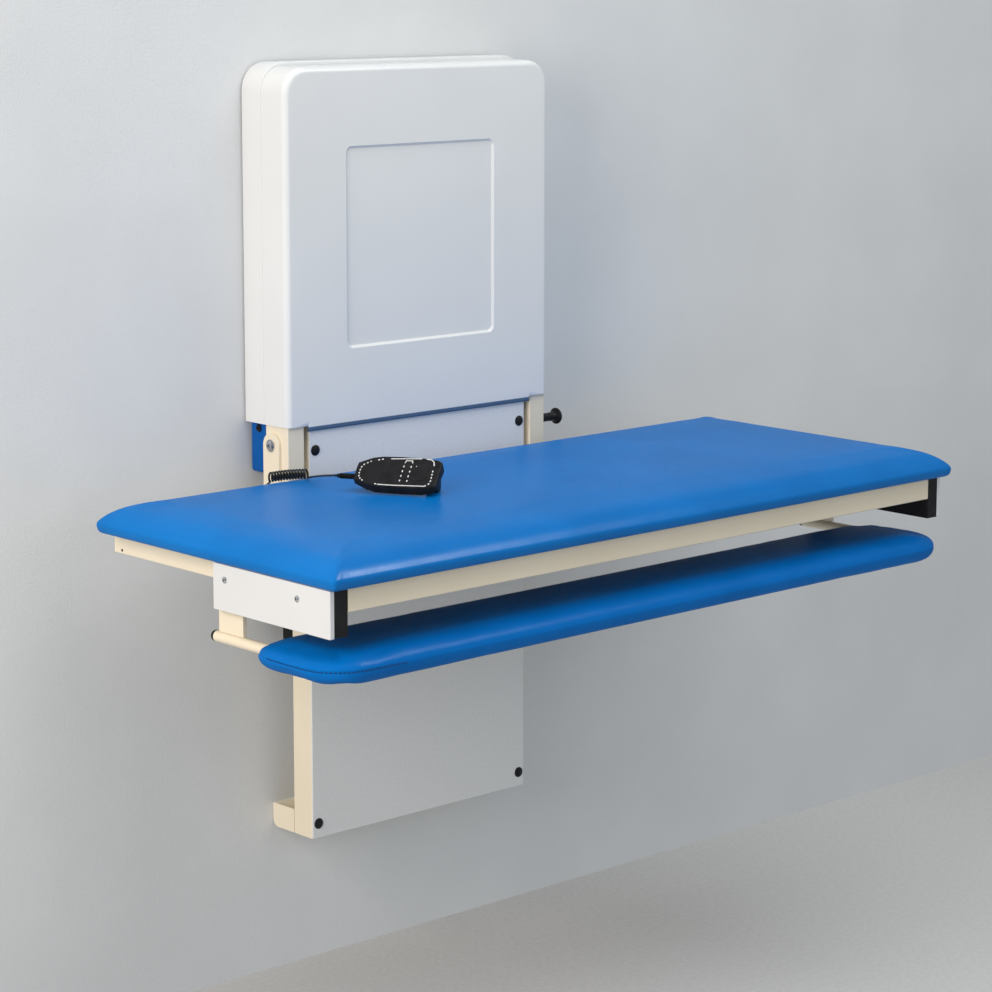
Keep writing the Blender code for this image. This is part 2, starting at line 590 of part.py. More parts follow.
# Guard: runner and arm in one plate per side, a tube with a black cap, and the long pad
tube_z = RAIL_Z - GUARD_DROP
pad_half = slot_x + PAD_END
pad_back = arm_back - PAD_BEHIND
pad_front = pad_back - PAD_DEPTH
pad_z0 = tube_z - PAD_T * 0.535
socket_end = pad_back - 0.070
for side, tag in ((-1, "left"), (1, "right")):
    extrude(tag + "_guard_arm", "Y", [(side * slot_x + x, z) for x, z in (
        (-0.0040, tube_z + GUARD_TUBE_R + GAP), (0.0040, tube_z + GUARD_TUBE_R + GAP),
        (0.0040, runner_z0 + 0.0004), (0.0079, runner_z0 + 0.0004), (0.0079, runner_z1 - 0.0004),
        (-0.0079, runner_z1 - 0.0004), (-0.0079, runner_z0 + 0.0004),
        (-0.0040, runner_z0 + 0.0004))], arm_front, arm_back, CREAM)
    turned(tag + "_guard_tube", "Y", (side * slot_x, tube_z),
           [(socket_end + 0.002, GUARD_TUBE_R), (arm_back + 0.010, GUARD_TUBE_R)], CREAM, 20)
    turned(tag + "_guard_cap", "Y", (side * slot_x, tube_z),
           [(arm_back + 0.010 + GAP, GUARD_TUBE_R), (arm_back + 0.0145, GUARD_TUBE_R),
            (arm_back + 0.0175, GUARD_TUBE_R - 0.0035)], BLACK, 20)
h = PAD_T
pad_rings = [(0.050, 0.0), (0.024, 0.03 * h), (0.0105, 0.12 * h), (0.0035, 0.27 * h), (0.0, 0.46 * h),
             (0.0015, 0.56 * h), (0.0060, 0.72 * h), (0.0140, 0.865 * h), (0.0280, 0.955 * h),
             (0.054, 1.0 * h)]
pad = cushion("guard_pad", -pad_half, pad_half, pad_front, pad_back, pad_z0, pad_rings, 0.075, 7, VINYL)
for side, tag in ((-1, "left"), (1, "right")):
    cut(pad, turned(tag + "_socket_cutter", "Y", (side * slot_x, tube_z),
                    [(socket_end, GUARD_TUBE_R + GAP), (pad_back + 0.02, GUARD_TUBE_R + GAP)], None, 20))


def crown(inset):
    """Height of the mattress's upper side at a distance from its edge."""
    upper = mat_rings[5:]
    for (i0, z0), (i1, z1) in zip(upper, upper[1:]):
        if inset < i1:
            return mat_z + z0 + (z1 - z0) * max(inset - i0, 0.0) / (i1 - i0)
    return mat_top


# Handset on the mattress: drawn flat, then tilted about its near edge and turned into place
hand_at = Vector((HANDSET_X, mat_back - HANDSET_IN, mat_top + GAP))
hand_turn = math.radians(-60.0)
half_w = HANDSET_W / 2
place = Matrix.Translation(hand_at) @ Matrix.Rotation(hand_turn, 4, "Z")
near_edge = Matrix.Translation((0.0, -half_w, 0.0))
lean = place @ near_edge @ Matrix.Rotation(math.radians(HANDSET_TILT), 4, "X") @ near_edge.inverted()
sections = [(-0.500, 0.44, 0.30, 0.82), (-0.485, 0.56, 0.16, 0.93), (-0.33, 0.86, 0.05, 1.00),
            (-0.22, 0.96, 0.0, 1.00), (0.0, 1.00, 0.0, 1.00), (0.30, 0.98, 0.0, 1.00),
            (0.44, 0.90, 0.06, 1.00), (0.490, 0.80, 0.16, 0.95), (0.500, 0.70, 0.26, 0.86)]
rings = []
for along, wide, low, high in sections:
    ring = rounded(-half_w * wide, half_w * wide, HANDSET_T * low, HANDSET_T * high, 0.0055, 3)
    rings.append([lean @ Vector((along * HANDSET_L, p, q)) for p, q in ring])
handset = loft("handset", rings, BLACK)
key_size = (0.0095, 0.0190)
key_up_at = 0.105 * HANDSET_L
key_down_at = 0.300 * HANDSET_L
key_base = HANDSET_T - 0.0030
for name, along in (("key_up", key_up_at), ("key_down", key_down_at)):
    pocket_half = (key_size[0] + 0.0005, key_size[1] + 0.0005)
    pocket = extrude(name + "_cutter", "Z", rounded(along - pocket_half[0], along + pocket_half[0],
                                                    -pocket_half[1], pocket_half[1], 0.003, 3),
                     key_base - 0.0013, HANDSET_T + 0.01, None)
    pocket.data.transform(lean)
    cut(handset, pocket)
    outline = rounded(along - key_size[0], along + key_size[0], -key_size[1], key_size[1], 0.003, 3)
    key = extrude(name, "Z", outline, key_base, HANDSET_T + 0.0012, RUBBER)
    key.data.transform(lean)
    to_origin(key, lean @ Vector((along, 0.0, HANDSET_T)))

# Hook on the handset's back, which props it up
tilt = math.tan(math.radians(HANDSET_TILT))
hook = [(half_w * 0.10, 0.0), (half_w * 0.55, 0.0), (half_w * 0.62, 0.010),
        (half_w * 0.62, (half_w * 1.62) * tilt - 0.0006), (-half_w * 0.25, (half_w * 0.75) * tilt - 0.0006),
        (half_w * 0.02, 0.006)]
hook_obj = extrude("handset_hook", "X", hook, HANDSET_L * 0.30, HANDSET_L * 0.44, BLACK)
hook_obj.data.transform(place)

# Strain relief at the handset's cord end
relief_z = HANDSET_T * 0.52
relief_y = -0.010
relief = turned("strain_relief", "X", (relief_y, relief_z),
                [(-0.5 * HANDSET_L - GAP - RELIEF_L, CORD_R + 0.0012),
                 (-0.5 * HANDSET_L - GAP - 0.004, 0.0044), (-0.5 * HANDSET_L - GAP, 0.0044)], BLACK, 16)
relief.data.transform(lean)


def smooth(points, steps):
    """Catmull-Rom path through points."""
    pts = [points[0] * 2 - points[1]] + points + [points[-1] * 2 - points[-2]]
    path = []
    for k in range(1, len(pts) - 2):
        p0, p1, p2, p3 = pts[k - 1:k + 3]
        for i in range(steps):
            u = i / steps
            path.append(0.5 * (2 * p1 + (p2 - p0) * u + (2 * p0 - 5 * p1 + 4 * p2 - p3) * u * u
                               + (3 * p1 - p0 - 3 * p2 + p3) * u ** 3))
    path.append(points[-1])
    return path


def tube(name, path, r, resolution, mat):
    """Round tube along a path, as a bevelled curve with filled caps."""
    curve = bpy.data.curves.new(name, "CURVE")
    curve.dimensions = "3D"
    curve.bevel_depth = r
    curve.bevel_resolution = resolution
    curve.use_fill_caps = True
    spline = curve.splines.new("POLY")
    spline.points.add(len(path) - 1)
    for spot, point in zip(spline.points, path):
        spot.co = (*point, 1.0)
    obj = bpy.data.objects.new(name, curve)
    bpy.context.collection.objects.link(obj)
    curve.materials.append(mat)
    return obj


# Curly cord: out of the left post's foot, up behind the mattress, curls on it, then to the handset
coil_rest = CURL_R + CORD_R + 0.0004
coil_a = Vector((-0.398, mat_back - 0.030, crown(0.036) + coil_rest))
coil_b = Vector((-0.358, mat_back - 0.086, crown(0.092) + coil_rest))
axis = (coil_b - coil_a).normalized()
across = axis.cross(Vector((0, 0, 1))).normalized()
rise = across.cross(axis)
post_mid = Vector((-(post_in + post_out) / 2, (post_front + post_back) / 2, post_z0))
low = post_z0 - 0.044
entry = coil_a - axis * 0.006 - across * CURL_R
exit_at = coil_b + axis * 0.006 - across * CURL_R
relief_in = lean @ Vector((-0.5 * HANDSET_L - GAP - RELIEF_L - GAP, relief_y, relief_z))
relief_way = (lean.to_3x3() @ Vector((-1.0, 0.0, 0.0))).normalized()
first = [post_mid + Vector((0, 0, 0.014)),
         post_mid + Vector((0, 0, 0.004)),
         post_mid + Vector((0, 0, -0.008)),
         post_mid + Vector((0, 0, -0.020)),
         Vector((post_mid.x - 0.014, post_mid.y, low)),
         Vector((-0.350, post_mid.y - 0.010, low + 0.004)),
         Vector((-0.374, frame_back + 0.008, low + 0.045)),
         Vector((-0.380, frame_back + 0.007, low + 0.090)),
         Vector((-0.382, frame_back + 0.007, mat_z)),
         Vector((-0.384, mat_back + 0.008, mat_z + 0.45 * MATTRESS_T)),
         Vector((-0.390, mat_back - 0.006, crown(0.019) + CORD_R + 0.003)),
         entry - axis * 0.008,
         entry]
last = [exit_at,
        Vector((-0.3425, mat_back - 0.105, exit_at.z + 0.003)),
        Vector((-0.3510, mat_back - 0.134, exit_at.z + 0.010)),
        Vector((-0.3800, mat_back - 0.168, exit_at.z + 0.016)),
        relief_in + relief_way * 0.020,
        relief_in + relief_way * 0.006,
        relief_in]
coil = []
per_curl = 10
for i in range(1, CURLS * per_curl):
    u = i / (CURLS * per_curl)
    turn = 2 * math.pi * i / per_curl
    ease = min(1.0, u * 14, (1 - u) * 14)
    bow = rise * (0.0015 * math.sin(math.pi * u))
    curl = across * math.cos(turn) + rise * math.sin(turn) * ease
    coil.append(coil_a.lerp(coil_b, u) + bow - curl * CURL_R)
cord_path = smooth(first, 4)[:-1] + [entry] + coil + smooth(last, 5)
tube("cord", cord_path, CORD_R, 1, CORD)
neighbour = 0.012
least = 1.0
for i in range(len(cord_path)):
    way = 0.0
    for j in range(i + 1, len(cord_path)):
        way += (cord_path[j] - cord_path[j - 1]).length
        if way > neighbour:
            least = min(least, (cord_path[j] - cord_path[i]).length - 2 * CORD_R)
length = sum((b - a).length for a, b in zip(cord_path, cord_path[1:]))
print("cord: least gap to itself %.2f mm, length %.3f m" % (least * 1000, length))
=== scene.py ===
import math

import bmesh
import bpy
import numpy as np
from mathutils import Matrix, Vector


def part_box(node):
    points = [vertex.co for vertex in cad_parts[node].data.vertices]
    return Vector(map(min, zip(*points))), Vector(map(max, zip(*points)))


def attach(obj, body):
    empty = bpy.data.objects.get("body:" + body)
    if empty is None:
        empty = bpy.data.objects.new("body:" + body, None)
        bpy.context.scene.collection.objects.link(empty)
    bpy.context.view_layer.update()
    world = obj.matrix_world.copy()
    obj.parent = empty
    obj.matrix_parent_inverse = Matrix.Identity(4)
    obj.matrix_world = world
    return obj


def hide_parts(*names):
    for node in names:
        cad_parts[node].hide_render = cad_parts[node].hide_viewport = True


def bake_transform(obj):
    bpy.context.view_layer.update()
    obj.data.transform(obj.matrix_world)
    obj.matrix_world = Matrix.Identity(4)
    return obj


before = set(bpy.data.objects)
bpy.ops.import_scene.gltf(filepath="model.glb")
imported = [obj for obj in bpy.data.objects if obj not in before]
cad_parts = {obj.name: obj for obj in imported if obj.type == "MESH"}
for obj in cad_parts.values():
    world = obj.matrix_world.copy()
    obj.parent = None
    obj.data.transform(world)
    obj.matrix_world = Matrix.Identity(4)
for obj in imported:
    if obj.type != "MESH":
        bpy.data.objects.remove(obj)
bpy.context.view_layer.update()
scene = bpy.context.scene
scene.view_settings.view_transform = "Standard"


# Camera: it stands well back on the left of the bench, a little above the mattress, with a long lens.
# A small shift frames the hood and the feet without tipping the lens.
camera = bpy.data.objects.new("camera", bpy.data.cameras.new("camera"))
camera.data.sensor_width = 36.0
camera.data.lens = 103.54
camera.data.shift_y = -0.12
camera.location = (-3.4450, -4.1041, 1.5767)
camera.rotation_euler = (math.pi / 2 - math.radians(8.242), 0.0, -math.radians(42.383))
scene.collection.objects.link(camera)
scene.camera = camera


# Room: a painted plaster wall that the feet and the hood stand against, and a pale mineral floor under the bench.
# Both are seen from the room's side only, so the back and the underside of the bench can be looked at too.
def feed(material, node, inputs):
    """Sets a node's inputs to plain values, or joins them to other nodes' outputs."""
    for name, value in inputs.items():
        if isinstance(value, bpy.types.NodeSocket):
            material.node_tree.links.new(value, node.inputs[name])
        else:
            node.inputs[name].default_value = value


def add_node(material, kind, inputs=None, **settings):
    """A shader node with its settings and inputs."""
    made = material.node_tree.nodes.new("ShaderNode" + kind)
    for name, value in settings.items():
        setattr(made, name, value)
    feed(material, made, inputs or {})
    return made


def noise(material, place, scale, detail, output="Fac", **more):
    """A cloudy pattern on a piece's own coordinates."""
    return add_node(material, "TexNoise", {"Vector": place, "Scale": scale, "Detail": detail, **more}).outputs[output]


def dents(material, height, distance, **under):
    """A fine relief that follows a pattern."""
    return add_node(material, "Bump", {"Height": height, "Distance": distance, **under}).outputs["Normal"]


def shade_ramp(material, factor, dark, light, low=0.35, high=0.65):
    """Two shades of one colour, laid by a pattern."""
    ramp = add_node(material, "ValToRGB", {"Fac": factor})
    ramp.color_ramp.elements[0].position = low
    ramp.color_ramp.elements[0].color = (*dark, 1.0)
    ramp.color_ramp.elements[1].position = high
    ramp.color_ramp.elements[1].color = (*light, 1.0)
    return ramp.outputs["Color"]


def room_side(name, corners, dark, light, patch, grain, relief):
    """One side of the room, opaque to the eye and to reflections from its front and clear to all other light."""
    material = bpy.data.materials.new(name)
    material.use_nodes = True
    material.node_tree.nodes.clear()
    place = add_node(material, "TexCoord").outputs["Object"]
    tone = shade_ramp(material, noise(material, place, patch, 6.0), dark, light)
    skin = dents(material, noise(material, place, grain, 5.0), relief)
    paint = add_node(material, "BsdfDiffuse", {"Color": tone, "Normal": skin})
    ray = add_node(material, "LightPath").outputs
    eye = add_node(material, "Math", {0: ray["Is Camera Ray"], 1: ray["Is Glossy Ray"]}, operation="MAXIMUM")
    behind = add_node(material, "NewGeometry").outputs["Backfacing"]
    shown = add_node(material, "Math", {0: eye.outputs["Value"], 1: behind}, operation="SUBTRACT", use_clamp=True)
    clear = add_node(material, "BsdfTransparent")
    mixed = add_node(material, "MixShader", {"Fac": shown.outputs["Value"], 1: clear.outputs[0], 2: paint.outputs[0]})
    add_node(material, "OutputMaterial", {"Surface": mixed.outputs[0]})
    mesh = bpy.data.meshes.new(name)
    mesh.from_pydata(corners, [], [range(len(corners))])
    mesh.materials.append(material)
    side = bpy.data.objects.new(name, mesh)
    scene.collection.objects.link(side)


wall_y = 0.001
floor_z = -0.300
room = 7.0
room_side("wall", [(-room, wall_y, floor_z), (room, wall_y, floor_z), (room, wall_y, room), (-room, wall_y, room)],
          (0.69, 0.695, 0.70), (0.73, 0.735, 0.74), 3.0, 260.0, 0.0006)
room_side("floor", [(-room, -room, floor_z), (room, -room, floor_z), (room, wall_y, floor_z), (-room, wall_y, floor_z)],
          (0.60, 0.59, 0.58), (0.64, 0.63, 0.62), 90.0, 400.0, 0.0001)


# Light: a broad soft box on the left, a wide panel overhead, a cool one in front and an even room light.
# They are matt panels that show in no reflection. A small bright one high on the right is seen in reflections only
# and draws a streak along the upper front edges of the two pads.
def soft_box(name, at, aim, size, power, colour, mirrored=False):
    lamp = bpy.data.objects.new(name, bpy.data.lights.new(name, "AREA"))
    lamp.data.shape = "RECTANGLE"
    lamp.data.size, lamp.data.size_y = size
    lamp.data.energy = power
    lamp.data.color = colour
    lamp.visible_glossy = mirrored
    lamp.visible_diffuse = not mirrored
    lamp.location = at
    lamp.rotation_euler = (Vector(aim) - Vector(at)).to_track_quat("-Z", "Y").to_euler()
    scene.collection.objects.link(lamp)


soft_box("window", at=(-3.6, -1.1, 1.8), aim=(0.0, -0.35, 0.75), size=(2.4, 2.2), power=102.0, colour=(1.0, 0.93, 0.85))
soft_box("ceiling", at=(0.2, -1.3, 3.6), aim=(0.0, -0.40, 0.65), size=(3.2, 2.4), power=52.0, colour=(0.92, 0.97, 1.0))
soft_box("front", at=(-0.6, -4.8, 1.5), aim=(0.0, -0.40, 0.60), size=(3.2, 2.2), power=18.0, colour=(0.88, 0.95, 1.0))
soft_box("streak", at=(1.45, -2.10, 3.3), aim=(0.0, -0.70, 0.60), size=(0.28, 0.16), power=44.0,
         colour=(0.93, 0.98, 1.0), mirrored=True)
scene.world = bpy.data.worlds.new("room light")
scene.world.use_nodes = True
scene.world.node_tree.nodes["Background"].inputs["Color"].default_value = (0.94, 0.98, 1.0, 1.0)
scene.world.node_tree.nodes["Background"].inputs["Strength"].default_value = 0.43


# Wall rails: two folded steel trays screwed to the wall, the lower one with its ends as feet, the upper one flat.
# They are folded from 4 mm sheet and powder coated in cream, and so is every steel part but the cross beam.
def new_finish(name):
    """A new material, its shader, and the piece's own coordinates for its patterns."""
    material = bpy.data.materials.new(name)
    material.use_nodes = True
    place = add_node(material, "TexCoord").outputs["Object"]
    return material, material.node_tree.nodes["Principled BSDF"], place


def coat(name, slot, dark, light, rough, patch, grain, relief, metal=0.0, worn=None, **sockets):
    """A plain finish with its slot: two near shades in soft patches, a gloss that wanders a little, and a fine skin.
    Where worn is given, that colour comes through in places along the eased edges."""
    material, shader, place = new_finish(name)
    patches = noise(material, place, patch, 5.0)
    tone = shade_ramp(material, patches, dark, light)
    if worn:
        edge = add_node(material, "Attribute", attribute_name="eased").outputs["Fac"]
        rubbed = add_node(material, "Math", {0: edge, 1: noise(material, place, 42.0, 4.0)}, operation="MULTIPLY")
        tone = add_node(material, "Mix", {0: rubbed.outputs["Value"], 6: tone, 7: (*worn, 1.0)},
                        data_type="RGBA").outputs[2]
    gloss = add_node(material, "MapRange", {"Value": patches, "From Min": 0.3, "From Max": 0.7,
                                            "To Min": rough - 0.05, "To Max": rough + 0.05})
    feed(material, shader, {"Base Color": tone, "Roughness": gloss.outputs["Result"], "Metallic": metal,
                            "Normal": dents(material, noise(material, place, grain, 3.0), relief),
                            **{socket.replace("_", " "): value for socket, value in sockets.items()}})
    return material, slot


def eased(node, edge, corner=0.0, long=0.3):
    """A CAD solid's own shape with its edges eased: long ones by corner, as rolled stock has, the others by edge."""
    shape = bmesh.new()
    shape.from_mesh(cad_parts[node].data)
    bmesh.ops.remove_doubles(shape, verts=shape.verts, dist=0.00001)
    bmesh.ops.dissolve_limit(shape, angle_limit=math.radians(0.5), verts=shape.verts, edges=shape.edges)
    strip = shape.faces.layers.float.new("eased")
    for radius, shortest in ((corner, long), (edge, 0.0)):
        sharp = [e for e in shape.edges
                 if e.is_manifold and e.calc_face_angle() > math.radians(38) and e.calc_length() > shortest]
        if radius and sharp:
            made = bmesh.ops.bevel(shape, geom=sharp, offset=radius, segments=3, profile=0.5, affect="EDGES",
                                   clamp_overlap=True)
            for face in made["faces"]:
                face[strip] = 1.0
    return shape


def piece_of(name, shape, material):
    """A smooth object in one material."""
    mesh = bpy.data.meshes.new(name)
    shape.to_mesh(mesh)
    shape.free()
    mesh.materials.append(material)
    mesh.shade_smooth()
    piece = bpy.data.objects.new(name, mesh)
    scene.collection.objects.link(piece)
    return piece


def fit(name, shape, finish, body, *nodes, wall=0.0):
    """A finished piece: its mesh and finish, the body it rides on, and the CAD solids it stands for.
    A skin gets a wall of that thickness, inwards."""
    material, slot = finish
    piece = piece_of(name, shape, material)
    piece.data.set_sharp_from_angle(angle=math.radians(50))
    if wall:
        solid = piece.modifiers.new("wall", "SOLIDIFY")
        solid.thickness = wall
        solid.offset = -1.0
        solid.use_even_offset = True
    piece.modifiers.new("flat faces stay flat", "WEIGHTED_NORMAL").keep_sharp = True
    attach(piece, body)
    if nodes:
        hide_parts(*nodes)
    return piece


cream = coat("cream_coat", "cream_paint", (0.840, 0.735, 0.562), (0.870, 0.768, 0.595), 0.40, 5.0, 700.0, 0.00006,
             worn=(0.86, 0.80, 0.68))


def coated(node, body, edge, corner=0.0, long=0.3):
    """A steel part in the cream coat."""
    fit("coated_" + node, eased(node, edge, corner, long), cream, body, node)


for rail in ("lower_wall_rail", "upper_wall_rail"):
    coated(rail, "wall_frame", 0.0008, 0.0020)


# Columns: two folded steel channels that stand on the lower rail and carry the lift's rollers.
# Their open sides face each other, and the outer corners keep the bending radius of the sheet.
for column in ("left_column", "right_column"):
    coated(column, "wall_frame", 0.0006, 0.0028)


# Front panel: a compact laminate sheet that closes the wall frame at the front.
# Its surface is pale grey with a faint speckle, and its edges are broken with a router.
laminate = coat("panel_laminate", "panel_laminate", (0.765, 0.765, 0.760), (0.800, 0.800, 0.795), 0.36, 160.0, 1300.0,
                0.00003, worn=(0.70, 0.70, 0.69))
fit("laminate_panel", eased("front_panel", 0.0009), laminate, "wall_frame", "front_panel")


# Panel screws: four domed black caps, pressed over countersunk screws at the panel's corners.
# They are moulded with a flat rim and a low crown.
def turned(profile, sides=40, flats=()):
    """A lathe-turned body about Z from (height, radius) steps; the steps numbered in flats are hexagons."""
    shape = bmesh.new()
    rings = []
    for step, (height, radius) in enumerate(profile):
        ring = []
        for i in range(sides if radius else 1):
            turn = 2 * math.pi * i / sides
            reach = radius
            if step in flats:
                reach = radius * math.cos(math.pi / 6) / math.cos(turn % (math.pi / 3) - math.pi / 6)
            ring.append(shape.verts.new((reach * math.cos(turn), reach * math.sin(turn), height)))
        rings.append(ring)
    for low, high in zip(rings, rings[1:]):
        for i in range(sides):
            j = (i + 1) % sides
            corners = [low[i % len(low)], low[j % len(low)], high[j % len(high)], high[i % len(high)]]
            shape.faces.new(list(dict.fromkeys(corners)))
    bmesh.ops.recalc_face_normals(shape, faces=shape.faces)
    return shape


def set_along(shape, at, way):
    """A turned body put with its foot at a point and its axis along a way."""
    turn = Vector((0.0, 0.0, 1.0)).rotation_difference(Vector(way)).to_matrix().to_4x4()
    bmesh.ops.transform(shape, matrix=Matrix.Translation(at) @ turn, verts=shape.verts)
    return shape


def copy_tree(name, inputs, parts, wires):
    """Geometry Nodes: a tree that sets a copy of an item on each point, makes the copies real and gives them a finish.
    Parts are its other nodes with their settings and values, and wires join them to the inputs and the copies."""
    tree = bpy.data.node_groups.new(name, "GeometryNodeTree")
    sockets = {}
    for label, kind in {**inputs, "Item": "Object", "Finish": "Material"}.items():
        sockets[label] = tree.interface.new_socket(label, in_out="INPUT", socket_type="NodeSocket" + kind).identifier
    tree.interface.new_socket("Pieces", in_out="OUTPUT", socket_type="NodeSocketGeometry")
    nodes = {}
    for label, (kind, settings, values) in {
            **parts, "given": ("NodeGroupInput", {}, {}), "item": ("GeometryNodeObjectInfo", {}, {}),
            "place": ("GeometryNodeInstanceOnPoints", {}, {}), "real": ("GeometryNodeRealizeInstances", {}, {}),
            "finish": ("GeometryNodeSetMaterial", {}, {}), "result": ("NodeGroupOutput", {}, {})}.items():
        nodes[label] = tree.nodes.new(kind)
        for setting, value in settings.items():
            setattr(nodes[label], setting, value)
        for socket, value in values.items():
            nodes[label].inputs[socket].default_value = value
    for start, leaves, end, enters in (*wires, ("given", "Item", "item", "Object"),
                                       ("item", "Geometry", "place", "Instance"),
                                       ("turn", "Rotation", "place", "Rotation"),
                                       ("place", "Instances", "real", "Geometry"),
                                       ("real", "Geometry", "finish", "Geometry"),
                                       ("given", "Finish", "finish", "Material"),
                                       ("finish", "Geometry", "result", "Pieces")):
        tree.links.new(nodes[start].outputs[leaves], nodes[end].inputs[enters])
    return tree, sockets


def copies(name, tree, carrier, item, material, **values):
    """The plain mesh of an item's copies on a carrier mesh; the carrier and the item go afterwards."""
    group, sockets = tree
    mesh = bpy.data.meshes.new(name + "_item")
    item.to_mesh(mesh)
    item.free()
    model = bpy.data.objects.new(name + "_item", mesh)
    holder = bpy.data.objects.new(name, carrier)
    scene.collection.objects.link(holder)
    modifier = holder.modifiers.new(name, "NODES")
    modifier.node_group = group
    for label, value in {"Item": model, "Finish": material, **values}.items():
        modifier[sockets[label]] = value
    made = bpy.data.meshes.new_from_object(holder.evaluated_get(bpy.context.evaluated_depsgraph_get()))
    bpy.data.objects.remove(holder)
    bpy.data.objects.remove(model)
    shape = bmesh.new()
    shape.from_mesh(made)
    return shape


screw_tree = copy_tree("fasteners on points", {"Points": "Geometry", "Seed": "Int"}, {
    "facing": ("GeometryNodeInputNamedAttribute", {"data_type": "FLOAT_VECTOR"}, {"Name": "facing"}),
    "upright": ("FunctionNodeAlignRotationToVector", {"axis": "Z"}, {}),
    "chance": ("FunctionNodeRandomValue", {"data_type": "FLOAT"}, {3: 2 * math.pi}),
    "spin": ("FunctionNodeAxisAngleToRotation", {}, {"Axis": (0.0, 0.0, 1.0)}),
    "turn": ("FunctionNodeRotateRotation", {"rotation_space": "LOCAL"}, {})},
    [("given", "Points", "place", "Points"), ("facing", "Attribute", "upright", "Vector"),
     ("given", "Seed", "chance", "Seed"), ("chance", 1, "spin", "Angle"),
     ("upright", "Rotation", "turn", "Rotation"), ("spin", "Rotation", "turn", "Rotate By")])


def fasteners(name, head, spots, finish, body, seed):
    """A group of like screws or caps on one body, each turned at random about its own axis.
    Spots are pairs of a point and the way its head faces."""
    carrier = bpy.data.meshes.new(name)
    carrier.from_pydata([at for at, way in spots], [], [])
    carrier.attributes.new("facing", "FLOAT_VECTOR", "POINT").data.foreach_set(
        "vector", [number for at, way in spots for number in way])
    fit(name, copies(name, screw_tree, carrier, head, finish[0], Seed=seed), finish, body)


cap_r = 0.0100
cap_x = 0.2514
cap_low, cap_high = 0.0053, 0.7043
panel_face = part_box("front_panel")[0][1]
black = coat("black_moulding", "black_plastic", (0.009, 0.009, 0.010), (0.015, 0.015, 0.016), 0.38, 30.0, 1900.0,
             0.00004, Specular_IOR_Level=0.20)
cap_steps = [(0.0, 0.0), (0.0, cap_r), (0.0008, cap_r), (0.0014, cap_r * 0.96), (0.0017, cap_r * 0.86),
             (0.0026, cap_r * 0.72), (0.0033, cap_r * 0.50), (0.0037, cap_r * 0.24), (0.0038, 0.0)]
fasteners("panel_screw_caps", turned(cap_steps, 28),
          [((x, panel_face, z), (0.0, -1.0, 0.0)) for x in (-cap_x, cap_x) for z in (cap_low, cap_high)],
          black, "wall_frame", 3)


# Drive: a motor in a grey housing on a steel base plate, with a zinc-plated tube that pushes the carriage's rod up.
# The control box beside it is a plain black moulding. All of it stands behind the panel.
grey = coat("grey_housing", "grey_housing", (0.185, 0.190, 0.195), (0.215, 0.220, 0.225), 0.45, 18.0, 900.0, 0.00008)
zinc = coat("zinc_plate", "zinc_steel", (0.50, 0.51, 0.52), (0.63, 0.64, 0.66), 0.30, 55.0, 1500.0, 0.00004, 1.0)
coated("drive_base", "wall_frame", 0.0007)
fit("motor_housing", eased("drive_motor", 0.0045), grey, "wall_frame", "drive_motor")
fit("control_moulding", eased("control_box", 0.0025), black, "wall_frame", "control_box")
fit("plated_drive_tube", eased("drive_tube", 0.0006), zinc, "wall_frame", "drive_tube")


# Cross beam: a folded steel channel, blue like the vinyl, that joins the two posts behind the bench.
# It is screwed on at each end with black button heads.
def button_head(radius, height, socket):
    """A button screw head with a hexagon socket, standing on its foot."""
    return turned([(0.0, 0.0), (0.0, radius * 0.97), (height * 0.14, radius), (height * 0.42, radius * 0.93),
                   (height * 0.74, radius * 0.74), (height * 0.95, radius * 0.52), (height, socket * 1.22),
                   (height * 0.95, socket), (height * 0.40, socket), (height * 0.34, 0.0)], 36, (7, 8))


blue = coat("blue_coat", "blue_paint", (0.002, 0.080, 0.320), (0.003, 0.092, 0.360), 0.42, 5.0, 700.0, 0.00006,
            worn=(0.05, 0.20, 0.52), Specular_IOR_Level=0.15)
fit("coated_cross_beam", eased("cross_beam", 0.0006, 0.0024), blue, "carriage", "cross_beam")
beam_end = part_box("cross_beam")[1][0]
beam_screw_y, beam_screw_z = -0.030, 0.741
fasteners("beam_screws", button_head(0.0075, 0.0042, 0.0026),
          [((side * beam_end, beam_screw_y, beam_screw_z), (side, 0.0, 0.0)) for side in (-1, 1)],
          black, "carriage", 5)


# Posts: two box tubes with drawn corners that carry the bench, closed at the foot by black plastic caps.
# Inside the hood a top beam of the same tube joins them and rests on the lift rod.
for post in ("left_post", "right_post"):
    coated(post, "carriage", 0.0005, 0.0026, 0.5)
    fit(post + "_foot_cap", eased(post + "_cap", 0.0012), black, "carriage", post + "_cap")
coated("top_beam", "carriage", 0.0006, 0.0028)
fit("plated_lift_rod", eased("lift_rod", 0.0006), zinc, "carriage", "lift_rod")


# Rollers: two zinc-plated plates on the beam, each with two black nylon rollers in the columns and a sliding shoe.
# The rollers are turned with a rounded tread.
for side in ("left", "right"):
    fit("plated_" + side + "_roller_plate", eased(side + "_roller_plate", 0.0006), zinc, "carriage",
        side + "_roller_plate")
    for part in ("_upper_roller", "_lower_roller", "_shoe"):
        fit("nylon_" + side + part, eased(side + part, 0.0012), black, "carriage", side + part)


